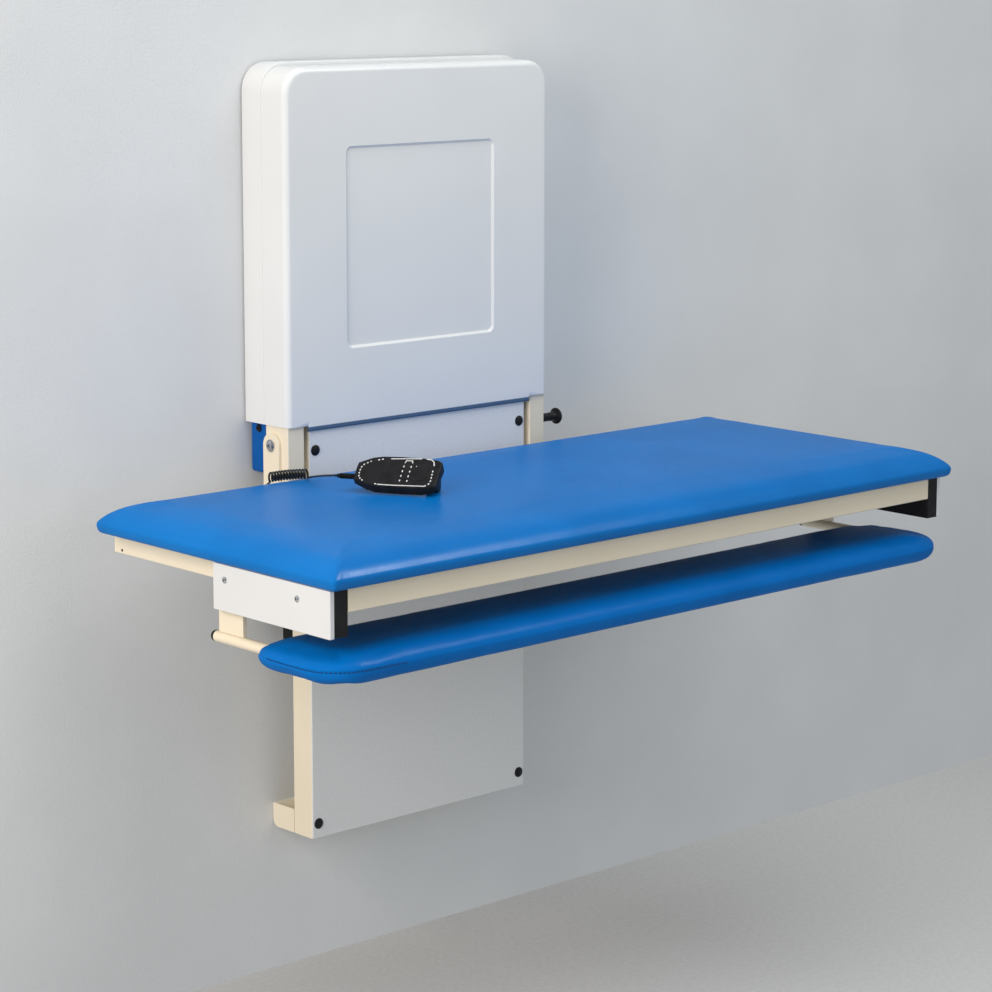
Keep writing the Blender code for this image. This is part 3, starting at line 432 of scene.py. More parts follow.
# Hood: two vacuum-formed white covers over the posts. The rear shell turns in round its front edge, and the front
# cover butts against it a little lower, with a rounded edge, a shallow square recess and a lip at the foot. A slim
# grey-blue strip under the lip is painted shade: it stands for the dark shadow line in the gap to the panel behind it.
def arch(half, foot, top, radius, inset, steps=14):
    """An upright outline from the left foot over two rounded corners to the right foot, drawn in by inset."""
    r = radius - inset
    line = [(-half + inset, foot)]
    for sign, first in ((-1, 180), (1, 90)):
        middle = (sign * (half - radius), top - radius)
        for i in range(steps + 1):
            turn = math.radians(first - 90.0 * i / steps)
            line.append((middle[0] + r * math.cos(turn), middle[1] + r * math.sin(turn)))
    return line + [(half - inset, foot)]


def skin_over(shape, lines, closed=False):
    """Faces between neighbouring lines of points, open or closed, each with as many points as the last."""
    rows = [[shape.verts.new(point) for point in line] for line in lines]
    for low, high in zip(rows, rows[1:]):
        for i in range(len(low) if closed else len(low) - 1):
            j = (i + 1) % len(low)
            shape.faces.new((low[i], low[j], high[j], high[i]))
    return rows


def round_corners(radius, middles):
    """A closed loop of four quarter circles about the middles of its corners."""
    return [(a + radius * math.cos(turn), b + radius * math.sin(turn))
            for (a, b), first in zip(middles, (0, 90, 180, 270))
            for turn in (math.radians(first + 15.0 * i) for i in range(7))]


def face_out(shape, inside):
    """Turns a skin's faces away from a point on its inner side."""
    bmesh.ops.recalc_face_normals(shape, faces=shape.faces)
    if sum(f.normal.dot(f.calc_center_median() - inside) * f.calc_area() for f in shape.faces) < 0:
        bmesh.ops.reverse_faces(shape, faces=shape.faces)
    return shape


shell_lo, shell_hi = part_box("hood_rear")
cover_lo, cover_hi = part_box("hood_front")
hood_inside = Vector((0.0, -0.03, 1.0))
corner, cover_corner = 0.052, 0.048
rim = 0.0016
rim_steps = [(rim, 0.0), (rim * 0.45, rim * 0.12), (rim * 0.12, rim * 0.45), (0.0, rim)]
white = coat("white_moulding", "white_abs", (0.765, 0.767, 0.765), (0.790, 0.792, 0.789), 0.33, 4.0, 1100.0, 0.00003)
shell = bmesh.new()
shell_rim = [(shell_hi[1], 0.0), (-0.030, 0.0), *((shell_lo[1] + back, inset) for back, inset in rim_steps),
             (shell_lo[1], 0.012)]
skin_over(shell, [[(x, y, z) for x, z in arch(shell_hi[0], shell_lo[2], shell_hi[2], corner, inset)]
                  for y, inset in shell_rim])
fit("hood_rear_shell", face_out(shell, hood_inside), white, "carriage", "hood_rear", wall=0.0030)

front_r = 0.0115
front_y = cover_lo[1]
cover_foot = shell_lo[2]
cover = bmesh.new()
cover_rim = [(cover_hi[1], 0.010), *((cover_hi[1] - ahead, inset) for ahead, inset in reversed(rim_steps))]
cover_rim += [(front_y + front_r * (1 - math.sin(a)), front_r * (1 - math.cos(a)))
              for a in (math.radians(10.0 * k) for k in range(10))]
edge_rows = skin_over(cover, [[(x, y, z) for x, z in arch(cover_hi[0], cover_foot, cover_hi[2], cover_corner, inset)]
                              for y, inset in cover_rim])
lip_half = 0.272
lip_start = cover_foot + 0.010
lip_r, lip_back = 0.0016, 0.0050
painted_shade_height = 0.0078
lip_z = cover_lo[2] + painted_shade_height
lip_x = [lip_half * (i / 12 - 1) for i in range(25)]
lip_profile = [(front_y, lip_start), (front_y, lip_z + lip_r)]
lip_profile += [(front_y + lip_r * (1 - math.cos(a)), lip_z + lip_r * (1 - math.sin(a)))
                for a in (math.radians(30.0 * k) for k in range(1, 4))]
lip_profile.append((front_y + lip_back, lip_z))
lip_rows = skin_over(cover, [[(x, y, z) for x in lip_x] for y, z in lip_profile])
foot_left = cover.verts.new((-lip_half, front_y, cover_foot))
foot_right = cover.verts.new((lip_half, front_y, cover_foot))
outline = edge_rows[-1] + [foot_right] + lip_rows[0][::-1] + [foot_left]

recess_half, recess_r = 0.18075, 0.014
recess_z0, recess_z1 = cover_foot + 0.132, cover_foot + 0.500
recess_steps = [(0.0, 0.0), (0.0006, 0.0002), (0.0012, 0.0009), (0.0040, 0.0034), (0.0047, 0.0039), (0.0056, 0.0040)]
recess_lines = []
for inset, depth in recess_steps:
    radius = recess_r - inset
    side = recess_half - inset - radius
    low, high = recess_z0 + inset + radius, recess_z1 - inset - radius
    recess_lines.append([(x, front_y + depth, z) for x, z in round_corners(
        radius, ((side, high), (-side, high), (-side, low), (side, low)))])
recess_rows = skin_over(cover, recess_lines, closed=True)
cover.faces.new(recess_rows[-1])
border = []
for loop in (outline, recess_rows[0]):
    for pair in zip(loop, loop[1:] + loop[:1]):
        border.append(cover.edges.get(pair) or cover.edges.new(pair))
bmesh.ops.triangle_fill(cover, edges=border, use_beauty=True, normal=(0.0, -1.0, 0.0))
fit("hood_front_cover", face_out(cover, hood_inside), white, "carriage", "hood_front", wall=0.0024)

# The grey-blue strip below is painted shade: a dark band for the shadow under the hood's lip, not a real part.
painted_shade_finish = coat("painted_shade_strip_finish", "black_rubber", (0.060, 0.120, 0.215), (0.072, 0.136, 0.235), 0.70, 30.0, 900.0, 0.00005)
painted_shade_strip = bmesh.new()
painted_shade_steps = [(0.0014, 1.0), (0.0009, 0.90), (0.0009, 0.45), (0.0014, 0.22), (0.0026, 0.07), (0.0046, 0.0)]
skin_over(painted_shade_strip, [[(x, front_y + back, cover_lo[2] + painted_shade_height * up) for x in lip_x] for back, up in painted_shade_steps])
fit("hood_edge_seal", face_out(painted_shade_strip, hood_inside), painted_shade_finish, "carriage", wall=0.0016)


# Bench frame: box tubes welded into a rectangle with three bars across, powder coated in cream.
# The tubes have small drawn corners and the front rail's ends are closed.
for rail in ("front_rail", "rear_rail", "left_end_rail", "right_end_rail", "left_cross_bar", "mid_cross_bar",
             "right_cross_bar"):
    coated(rail, "bench", 0.0006, 0.0022)
plug = coat("black_plug", "black_plastic", (0.010, 0.010, 0.011), (0.016, 0.016, 0.017), 0.50, 30.0, 1900.0, 0.00004)
plug_y, plug_z, plug_r = -0.156, 0.5885, 0.0026
end_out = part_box("right_end_rail")[1][0]
fasteners("frame_hole_plugs", turned([(0.0, 0.0), (0.0, plug_r), (0.0004, plug_r - 0.0002), (0.0004, 0.0)], 20),
          [((side * end_out, plug_y, plug_z), (side, 0.0, 0.0)) for side in (-1, 1)], plug, "bench", 2)


# Hinge plates: two flat steel plates with round heads, welded inside the frame and hung on the pivot bolts.
# Each bolt is zinc plated, with a wide washer and a button head.
for side in ("left", "right"):
    coated(side + "_hinge_plate", "bench", 0.0007)
    bolt_lo, bolt_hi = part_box(side + "_pivot_bolt")
    way = -1.0 if side == "left" else 1.0
    plate_lo, plate_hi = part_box(side + "_hinge_plate")
    plate_out = plate_lo[0] if side == "left" else plate_hi[0]
    shank_in = bolt_hi[0] if side == "left" else bolt_lo[0]
    middle = ((bolt_lo[1] + bolt_hi[1]) / 2, (bolt_lo[2] + bolt_hi[2]) / 2)
    start = abs(plate_out) + 0.0003
    foot = abs(shank_in)
    bolt = turned([(foot - start, 0.0), (foot - start, 0.0048), (0.0, 0.0048), (0.0, 0.0113), (0.0003, 0.0115),
                   (0.0013, 0.0115), (0.0016, 0.0112), (0.0016, 0.0088), (0.0023, 0.0090), (0.0034, 0.0084),
                   (0.0046, 0.0066), (0.0053, 0.0046), (0.0054, 0.0038), (0.0051, 0.0032), (0.0028, 0.0032),
                   (0.0026, 0.0)], 48, (13, 14))
    set_along(bolt, (way * start, *middle), (way, 0.0, 0.0))
    fit(side + "_hinge_bolt", bolt, zinc, "carriage", side + "_pivot_bolt")


# Stops: two rubber buffers that the frame leans on, pressed against the posts.
# They are moulded with soft edges and a dull skin.
rubber = coat("black_rubber", "black_rubber", (0.010, 0.010, 0.010), (0.016, 0.016, 0.016), 0.62, 40.0, 1200.0, 0.00008,
              Specular_IOR_Level=0.10)
for side in ("left", "right"):
    fit(side + "_buffer", eased(side + "_stop", 0.0030), rubber, "bench", side + "_stop")


# Lock: a black bush on the right hinge plate with a plated ring at its foot, and a mushroom knob on a sprung pin.
# The knob has a thin wide head and is pulled out to free the bench.
bush_lo, bush_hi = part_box("lock_bush")
lock_y, lock_z = (bush_lo[1] + bush_hi[1]) / 2, (bush_lo[2] + bush_hi[2]) / 2
bush_r = (bush_hi[2] - bush_lo[2]) / 2
bush_l = bush_hi[0] - bush_lo[0]
ring_t, bore = 0.0070, 0.0056
for name, steps, finish, nodes in (
        ("lock_ring", [(0.0, bore), (0.0, bush_r * 0.97), (0.0004, bush_r), (ring_t - 0.0006, bush_r),
                       (ring_t - 0.0002, bush_r * 0.97), (ring_t - 0.0002, bore), (0.0, bore)], zinc, ()),
        ("lock_collar", [(ring_t, bore), (ring_t, bush_r * 0.90), (ring_t + 0.0006, bush_r * 0.94),
                         (0.0120, bush_r * 0.94), (0.0126, bush_r * 0.90), (bush_l - 0.001, bush_r * 0.86),
                         (bush_l, bush_r * 0.80), (bush_l, bore), (ring_t, bore)], black, ("lock_bush",))):
    bush = turned(steps, 44)
    bmesh.ops.remove_doubles(bush, verts=bush.verts, dist=0.00001)
    fit(name, set_along(bush, (bush_lo[0], lock_y, lock_z), (1.0, 0.0, 0.0)), finish, "bench", *nodes)
knob_lo, knob_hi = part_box("lock_knob")
knob_r = (knob_hi[2] - knob_lo[2]) / 2
grip = bush_hi[0] + 0.0003 - knob_lo[0]
knob_l = knob_hi[0] - knob_lo[0]
knob = turned([(0.0, 0.0), (0.0, 0.0036), (0.0012, 0.0048), (grip, 0.0048), (grip, 0.0082), (grip + 0.0008, 0.0086),
               (grip + 0.0090, 0.0082), (grip + 0.0125, 0.0088), (grip + 0.0150, 0.0105),
               (grip + 0.0168, knob_r * 0.82), (grip + 0.0178, knob_r * 0.94), (grip + 0.0190, knob_r * 0.99),
               (grip + 0.0204, knob_r), (grip + 0.0218, knob_r * 0.98), (grip + 0.0236, knob_r * 0.90),
               (grip + 0.0258, knob_r * 0.70), (knob_l - 0.0008, knob_r * 0.40), (knob_l, 0.0)], 48)
set_along(knob, (knob_lo[0], lock_y, lock_z), (1.0, 0.0, 0.0))
fit("lock_mushroom_knob", knob, black, "lock_plunger", "lock_knob")


# Guides: black polymer blocks along the frame's ends, each with a slot that the guard's arm runs in.
# White side plates cover them and are held by two plated button screws each.
white_plate = coat("white_polymer", "white_polymer", (0.700, 0.700, 0.700), (0.730, 0.730, 0.730), 0.34, 6.0, 1400.0,
                   0.00003, worn=(0.74, 0.74, 0.73))
for side in ("left", "right"):
    fit(side + "_guide_block", eased(side + "_guide", 0.0008), black, "bench", side + "_guide")
    fit(side + "_cover_plate", eased(side + "_side_plate", 0.0009), white_plate, "bench", side + "_side_plate")
screw_y, screw_z = (-0.4918, -0.6786), 0.596
plate_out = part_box("right_side_plate")[1][0]
fasteners("side_plate_screws", button_head(0.0056, 0.0028, 0.0023),
          [((way * plate_out, y, screw_z), (way, 0.0, 0.0)) for way in (-1, 1) for y in screw_y], zinc, "bench", 11)


# Deck board: a birch plywood sheet under the mattress. It lies on the frame's tubes.
# Its colour is dark all over as painted shade for the bench's underside, and the wood's grain shows faintly through.
def shade_darkened_plywood(name, slot, dark, light):
    """Plywood painted dark as the shade under the bench: long grain along X, drawn out by a mapping."""
    material, shader, place = new_finish(name)
    drawn = add_node(material, "Mapping", {"Vector": place, "Scale": (3.0, 40.0, 10.0)}).outputs["Vector"]
    grain = noise(material, drawn, 1.6, 8.0, Distortion=1.2)
    feed(material, shader, {"Base Color": shade_ramp(material, grain, dark, light), "Roughness": 0.55,
                            "Normal": dents(material, noise(material, drawn, 22.0, 3.0), 0.00015)})
    return material, slot


# The board's dark colours are painted shade: the bench's underside is kept dark by colour, not by light.
birch = shade_darkened_plywood("birch_board", "birch_board", (0.030, 0.021, 0.016), (0.052, 0.038, 0.028))
fit("plywood_deck", eased("deck_board", 0.0008), birch, "bench", "deck_board")


# Mattress: a foam slab on the deck under one sheet of blue vinyl, drawn down over rounded shoulders and tucked under.
# At the four corners the vinyl is folded and pulled tight, which leaves a crease and small puckers.
def steps_between(length, fine, coarse, growth=1.22):
    """Places along a length from -1 to 1, close together at its two ends and wider apart in the middle."""
    half = [0.0]
    gap = fine
    while half[-1] < length / 2:
        half.append(half[-1] + gap)
        gap = min(gap * growth, coarse)
    half = [h / half[-1] for h in half]
    left = [-1.0 + h for h in half]
    return left + [-p for p in left[-2::-1]]


def padded_form(across, deep, rings, centre, top, under=None):
    """A closed cushion from rings of (half length, half depth, corner radius, height), the lowest first.
    A grid with heights from top closes it above, and a grid with heights from under closes it below."""
    round_it = [(s, -1.0) for s in across[:-1]] + [(1.0, s) for s in deep[:-1]]
    round_it += [(-sx, -sy) for sx, sy in round_it]
    shape = bmesh.new()
    lines = []
    for half_x, half_y, radius, height in rings:
        line = []
        for sx, sy in round_it:
            x, y = sx * half_x, sy * half_y
            over = (abs(x) - half_x + radius, abs(y) - half_y + radius)
            if over[0] > 0 and over[1] > 0:
                size = radius / math.hypot(*over)
                x = math.copysign(half_x - radius + over[0] * size, x)
                y = math.copysign(half_y - radius + over[1] * size, y)
            line.append((centre[0] + x, centre[1] + y, height))
        lines.append(line)
    loops = skin_over(shape, lines, closed=True)
    nx, ny = len(across) - 1, len(deep) - 1
    for loop, size, height in ((loops[-1], rings[-1], top), (loops[0], rings[0], under)):
        net = {}
        for i in range(nx):
            net[i, 0] = loop[i]
            net[nx - i, ny] = loop[nx + ny + i]
        for j in range(ny):
            net[nx, j] = loop[nx + j]
            net[0, ny - j] = loop[2 * nx + ny + j]
        for i in range(1, nx):
            for j in range(1, ny):
                x, y = across[i] * size[0], deep[j] * size[1]
                net[i, j] = shape.verts.new((centre[0] + x, centre[1] + y, height(x, y)))
        for i in range(nx):
            for j in range(ny):
                shape.faces.new((net[i, j], net[i + 1, j], net[i + 1, j + 1], net[i, j + 1]))
    bmesh.ops.recalc_face_normals(shape, faces=shape.faces)
    return shape


def blow_taut(shape, held, pressure, most):
    """Lets the foam press the cover out: cloth with pressure and no gravity, no point moving further than most."""
    shape.verts.ensure_lookup_table()
    mesh = bpy.data.meshes.new("cover")
    shape.to_mesh(mesh)
    cover = bpy.data.objects.new("cover", mesh)
    scene.collection.objects.link(cover)
    cover.vertex_groups.new(name="held").add(held, 1.0, "REPLACE")
    cloth = cover.modifiers.new("cover", "CLOTH")
    cloth.settings.vertex_group_mass = "held"
    cloth.settings.use_pressure = True
    cloth.settings.uniform_pressure_force = pressure
    cloth.settings.effector_weights.gravity = 0.0
    cloth.settings.mass = 0.3
    cloth.settings.quality = 3
    cloth.settings.tension_stiffness = cloth.settings.compression_stiffness = 25.0
    cloth.settings.shear_stiffness = 12.0
    cloth.settings.bending_stiffness = 4.0
    cloth.collision_settings.use_collision = False
    cloth.point_cache.frame_start = 1
    cloth.point_cache.frame_end = 12
    for step in range(1, 13):
        scene.frame_set(step)
    taut = cover.evaluated_get(bpy.context.evaluated_depsgraph_get()).data
    for vert, after in zip(shape.verts, taut.vertices):
        move = after.co - vert.co
        if move.length > most:
            move *= most / move.length
        vert.co += move
    bpy.data.objects.remove(cover)
    scene.frame_set(1)


def leathercloth(name, slot, dark, light, rough, lacquer):
    """Upholstery vinyl: an even matt colour with a fine leather grain, under a thin lacquer that gives its gloss."""
    material, shader, place = new_finish(name)
    cloud = noise(material, place, 7.0, 4.0)
    warp = add_node(material, "VectorMath", {0: noise(material, place, 320.0, 2.0, "Color"),
                                             1: (0.0011, 0.0011, 0.0011)}, operation="MULTIPLY")
    moved = add_node(material, "VectorMath", {0: place, 1: warp.outputs["Vector"]}, operation="ADD")
    cells = add_node(material, "TexVoronoi", {"Vector": moved.outputs["Vector"], "Scale": 620.0},
                     feature="DISTANCE_TO_EDGE")
    pebble = add_node(material, "MapRange", {"Value": cells.outputs["Distance"], "From Min": 0.0, "From Max": 0.28},
                      interpolation_type="SMOOTHSTEP").outputs["Result"]
    grain = dents(material, pebble, 0.00004, Normal=dents(material, cloud, 0.0022))
    gloss = add_node(material, "MapRange", {"Value": pebble, "To Min": rough + 0.08, "To Max": rough})
    feed(material, shader, {"Base Color": shade_ramp(material, cloud, dark, light), "Roughness": 0.80,
                            "Specular IOR Level": 0.0, "Coat Weight": lacquer, "Normal": grain, "Coat Normal": grain,
                            "Coat Roughness": gloss.outputs["Result"]})
    return material, slot


def smooth_body(name, shape, finish, body, *nodes):
    """A padded piece: one subdivision over its own mesh."""
    piece = fit(name, shape, finish, body, *nodes)
    piece.modifiers.clear()
    piece.data.set_sharp_from_angle(angle=math.pi)
    fine = piece.modifiers.new("fine", "SUBSURF")
    fine.levels = fine.render_levels = 1
    return piece


def half_and_centre(low, high):
    """A box's half sizes and its middle, along X and Y."""
    return ([(b - a) / 2 for a, b in zip(low[:2], high[:2])], [(b + a) / 2 for a, b in zip(low[:2], high[:2])])


blue_vinyl = leathercloth("blue_vinyl", "blue_vinyl", (0.001, 0.148, 0.475), (0.002, 0.165, 0.520), 0.20, 0.38)
slab_lo, slab_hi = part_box("mattress")
slab_half, slab_centre = half_and_centre(slab_lo, slab_hi)
slab_t = slab_hi[2] - slab_lo[2]
deck_lo, deck_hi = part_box("deck_board")
slab_profile = [(0.012, 0.0), (0.0085, 0.010), (0.0055, 0.030), (0.0030, 0.070), (0.0016, 0.120), (0.0006, 0.180),
                (0.0, 0.250), (0.0008, 0.320), (0.0028, 0.390), (0.0060, 0.460), (0.0100, 0.525), (0.0143, 0.585),
                (0.0190, 0.640), (0.0242, 0.695), (0.0297, 0.745), (0.0360, 0.792), (0.0440, 0.836), (0.0540, 0.872),
                (0.0670, 0.903), (0.0830, 0.930)]
crown_inset = (0.0830, 0.1100, 0.1500, 0.2200, 0.2900, 0.3200)
crown_height = (0.930, 0.950, 0.972, 0.992, 0.9995, 1.0)


def crown(x, y):
    """The height of the slab's top: it rises slowly from all four sides."""
    inset = ((slab_half[0] - abs(x)) ** -6 + (slab_half[1] - abs(y)) ** -6) ** (-1 / 6)
    return slab_lo[2] + slab_t * float(np.interp(inset, crown_inset, crown_height))


seat = 0.0003
deck_half = (deck_hi[0] + seat, (deck_hi[1] - deck_lo[1]) / 2 + seat)
slab_rings = [(*deck_half, 0.002, deck_hi[2] + 0.0004), (*deck_half, 0.002, slab_lo[2] + 0.0002)]
for inset, height in slab_profile:
    slab_rings.append((slab_half[0] - inset, slab_half[1] - inset, max(0.005 - 0.3 * inset, 0.003 + 0.25 * inset),
                       slab_lo[2] + slab_t * height))
slab_across = steps_between(2 * slab_half[0], 0.0026, 0.0220)
slab_deep = steps_between(2 * slab_half[1], 0.0026, 0.0220)
slab = padded_form(slab_across, slab_deep, slab_rings, slab_centre, crown, lambda x, y: slab_rings[0][3])
held_rings = 10
round_count = 2 * (len(slab_across) + len(slab_deep) - 2)
blow_taut(slab, list(range(round_count * held_rings)), pressure=4.0, most=0.0016)
crease_depth, crease_wide = 0.0013, 0.0024
crease_near, crease_top = 0.05, 0.82
for vert in slab.verts:
    share = (vert.co.z - slab_lo[2]) / slab_t
    dx = slab_half[0] - abs(vert.co.x - slab_centre[0])
    dy = slab_half[1] - abs(vert.co.y - slab_centre[1])
    if min(dx, dy) > crease_near or share < 0.02 or share > crease_top:
        continue
    fade = min(1.0, share / 0.10) * min(1.0, (crease_top - share) / 0.30)
    in_x = -math.copysign(1.0, vert.co.x - slab_centre[0])
    in_y = -math.copysign(1.0, vert.co.y - slab_centre[1])
    past = dx - dy
    fold = crease_depth * math.exp(-(past / crease_wide) ** 2)
    end_side = fold + 0.0009 * math.exp(-((past + 0.010) / 0.007) ** 2)
    long_side = fold - 0.0008 * math.exp(-((past - 0.012) / 0.009) ** 2)
    pucker = 0.00045 * math.sin(abs(past) * 2 * math.pi / 0.016) * math.exp(-abs(past) / 0.040)
    vert.co += Vector((in_x * (end_side + (pucker if past < 0 else 0.0)),
                       in_y * (long_side + (pucker if past > 0 else 0.0)), 0.0)) * fade
for vert in slab.verts:
    vert.co.xy = [min(max(c, low), high) for c, low, high in zip(vert.co.xy, slab_lo, slab_hi)]
    vert.co.z = min(vert.co.z, slab_hi[2])
smooth_body("vinyl_mattress", slab, blue_vinyl, "bench", "mattress")


# Guard: a padded bolster on two cream tubes, whose flat arms run in the guide blocks. The tubes end in black caps.
# The vinyl cover is a sleeve, closed round each end by a sewn seam at half height.
for side in ("left", "right"):
    coated(side + "_guard_arm", "guard", 0.0008)
    tube_lo, tube_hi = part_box(side + "_guard_tube")
    tube_r = (tube_hi[2] - tube_lo[2]) / 2
    tube_l = tube_hi[1] - tube_lo[1]
    tube_x, tube_z = (tube_lo[0] + tube_hi[0]) / 2, (tube_lo[2] + tube_hi[2]) / 2
    tube = turned([(0.0, 0.0), (0.0, tube_r * 0.86), (0.0, tube_r), (tube_l - 0.0006, tube_r),
                   (tube_l, tube_r - 0.0006), (tube_l, 0.0)], 40)
    fit("coated_" + side + "_guard_tube", set_along(tube, (tube_x, tube_lo[1], tube_z), (0.0, 1.0, 0.0)), cream,
        "guard", side + "_guard_tube")
    cap_lo, cap_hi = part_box(side + "_guard_cap")
    cap_l = cap_hi[1] - cap_lo[1]
    cap = turned([(0.0, 0.0), (0.0, tube_r), (cap_l * 0.55, tube_r), (cap_l * 0.80, tube_r * 0.94),
                  (cap_l * 0.94, tube_r * 0.80), (cap_l, tube_r * 0.55), (cap_l, 0.0)], 40)
    fit(side + "_tube_end_cap", set_along(cap, (tube_x, cap_lo[1], tube_z), (0.0, 1.0, 0.0)), black, "guard",
        side + "_guard_cap")

pad_vinyl = leathercloth("pad_vinyl", "blue_vinyl", (0.001, 0.140, 0.480), (0.002, 0.156, 0.530), 0.24, 0.20)
roll_lo, roll_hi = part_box("guard_pad")
roll_half, roll_centre = half_and_centre(roll_lo, roll_hi)
roll_t = roll_hi[2] - roll_lo[2]
roll_r = 0.075
slack = 0.0022
roll_profile = [(0.0340, 0.0), (0.0230, 0.012), (0.0160, 0.038), (0.0110, 0.080), (0.0072, 0.142), (0.0044, 0.222),
                (0.0024, 0.312), (0.0010, 0.400), (0.0006, 0.450), (0.0003, 0.480), (0.0002, 0.490), (0.0002, 0.500),
                (0.0002, 0.510), (0.0003, 0.525), (0.0006, 0.560), (0.0016, 0.615), (0.0033, 0.683), (0.0060, 0.753),
                (0.0093, 0.819), (0.0140, 0.881), (0.0200, 0.925), (0.0280, 0.960), (0.0400, 0.986), (0.0540, 1.0)]
roll_rings = [(roll_half[0] - slack - inset, roll_half[1] - slack - inset, max(roll_r - inset, 0.012),
               roll_lo[2] + slack + (roll_t - 2 * slack) * height) for inset, height in roll_profile]
roll_across = steps_between(2 * roll_half[0], 0.0080, 0.0200)
roll_deep = steps_between(2 * roll_half[1], 0.0110, 0.0150)
roll = padded_form(roll_across, roll_deep, roll_rings, roll_centre, lambda x, y: roll_hi[2] - slack,
                   lambda x, y: roll_lo[2] + slack)
blow_taut(roll, [], pressure=4.0, most=0.0030)
swollen = [[f(v.co[k] for v in roll.verts) for f in (min, max)] for k in range(3)]
rear_fall, square = 0.0065, 3.2
for vert in roll.verts:
    vert.co = [low + (c - least) * (high - low) / (most - least)
               for c, low, high, (least, most) in zip(vert.co, roll_lo, roll_hi, swollen)]
    over = Vector((abs(vert.co.x - roll_centre[0]) - roll_half[0] + roll_r, vert.co.y - roll_hi[1] + roll_r))
    if over.x > 0 and over.y > 0:
        size = over.length / (over.x ** square + over.y ** square) ** (1 / square)
        vert.co.x += math.copysign(over.x * (size - 1), vert.co.x - roll_centre[0])
        vert.co.y += over.y * (size - 1)
    back = (vert.co.y - roll_lo[1]) / (roll_hi[1] - roll_lo[1])
    vert.co.z -= rear_fall * back ** 2 * (vert.co.z - roll_lo[2]) / roll_t
seam_z = (roll_lo[2] + roll_hi[2]) / 2
seam_from = roll_half[0] - 0.150
seam_depth, seam_wide = 0.0016, 0.0026
for vert in roll.verts:
    end = abs(vert.co.x - roll_centre[0])
    if end > (seam_from if vert.co.x < 0 else roll_half[0] - roll_r / 2):
        pull = min(1.0, (end - seam_from) / 0.080) * math.exp(-((vert.co.z - seam_z) / seam_wide) ** 2)
        past = max(0.0, end - roll_half[0] + roll_r)
        away = Vector((math.copysign(past, vert.co.x), vert.co.y - roll_centre[1], 0.0)).normalized()
        vert.co -= away * (seam_depth * pull)
    vert.co = [min(max(c, low), high) for c, low, high in zip(vert.co, roll_lo, roll_hi)]
smooth_body("vinyl_guard_pad", roll, pad_vinyl, "guard", "guard_pad")


# Seam stitches: a row of short blue-black lock stitches in the seam round each end of the bolster.
# They follow the seam at an even pitch and sink a little at their ends.
row_tree = copy_tree("pieces along a path", {"Path": "Geometry", "Pitch": "Float"}, {
    "line": ("GeometryNodeMeshToCurve", {}, {}),
    "spots": ("GeometryNodeCurveToPoints", {"mode": "LENGTH"}, {}),
    "turn": ("FunctionNodeAlignRotationToVector", {"axis": "X", "pivot_axis": "Z"}, {})},
    [("given", "Path", "line", "Mesh"), ("line", "Curve", "spots", "Curve"), ("given", "Pitch", "spots", "Length"),
     ("spots", "Points", "place", "Points"), ("spots", "Tangent", "turn", "Vector")])


def row_along(name, item, lines, pitch, material):
    """The item repeated at an even pitch along open lines of points, lying in their direction."""
    carrier = bpy.data.meshes.new(name)
    points, edges = [], []
    for line in lines:
        edges += [(len(points) + i, len(points) + i + 1) for i in range(len(line) - 1)]
        points += line
    carrier.from_pydata(points, edges, [])
    return copies(name, row_tree, carrier, item, material, Pitch=pitch)


def stitch(length, thick):
    """One stitch: a short thread, thickest in the middle, lying along X."""
    thread = turned([(-length / 2, 0.0), (-length * 0.42, thick * 0.55), (-length * 0.2, thick), (length * 0.2, thick),
                     (length * 0.42, thick * 0.55), (length / 2, 0.0)], 8)
    bmesh.ops.rotate(thread, cent=(0, 0, 0), matrix=Matrix.Rotation(math.pi / 2, 3, "Y"), verts=thread.verts)
    return thread


thread = coat("navy_thread", "blue_vinyl", (0.002, 0.012, 0.050), (0.004, 0.020, 0.075), 0.60, 300.0, 2600.0, 0.00010)
sunk = 0.0008
seam_r = roll_r - sunk
seam_lines = []
for sign, straight, first in ((-1, 7, -90), (1, 0, -20)):
    line = [(sign * x, roll_centre[1] - roll_half[1] + sunk, seam_z)
            for x in np.linspace(seam_from, roll_half[0] - roll_r, 8)[:straight]]
    for edge, start, end in ((-1, first, 0), (1, 0, 90)):
        for turn in np.radians(np.linspace(start, end, 19)):
            line.append((sign * (roll_half[0] - roll_r + seam_r * math.cos(turn)),
                         roll_centre[1] + edge * (roll_half[1] - roll_r) + seam_r * math.sin(turn), seam_z))
    seam_lines.append(line)
stitches = row_along("guard_seam_stitches", stitch(0.0050, 0.00090), seam_lines, 0.0072, thread[0])
fit("guard_seam_stitches", stitches, thread, "guard")


# Handset: a black moulded remote that lies on the mattress, its face leaning forwards, with a hook behind.
# Its body is thinner along the near edge. The face has two low rubber keys and a printed white border.
hand_l, hand_w, hand_t = 0.152, 0.068, 0.028
hand_at = Matrix.Translation((-0.325, -0.4423, slab_hi[2] + 0.0003)) @ Matrix.Rotation(math.radians(-60.0), 4, "Z")
lean = hand_at @ Matrix.Translation((0.0, -hand_w / 2, 0.0)) @ Matrix.Rotation(math.radians(32.0), 4, "X")
lean = lean @ Matrix.Translation((0.0, hand_w / 2, 0.0))
fall = 0.0100
face = lean @ Matrix.Translation((0.0, hand_w / 2, hand_t)) @ Matrix.Rotation(math.atan(fall / hand_w), 4, "X")
face = face @ Matrix.Translation((0.0, -hand_w / 2, 0.0))
hand_along = (-0.500, -0.485, -0.330, -0.220, 0.0, 0.300, 0.440, 0.490, 0.500)
hand_wide = (0.44, 0.56, 0.86, 0.96, 1.0, 0.98, 0.90, 0.80, 0.70)
hand_low = (0.30, 0.16, 0.05, 0.0, 0.0, 0.0, 0.06, 0.16, 0.26)
hand_high = (0.82, 0.93, 1.0, 1.0, 1.0, 1.0, 1.0, 0.95, 0.86)
places = sorted(set(list(hand_along) + [round(p, 4) for p in np.linspace(-0.48, 0.48, 49)]))
handset = bmesh.new()
lines = []
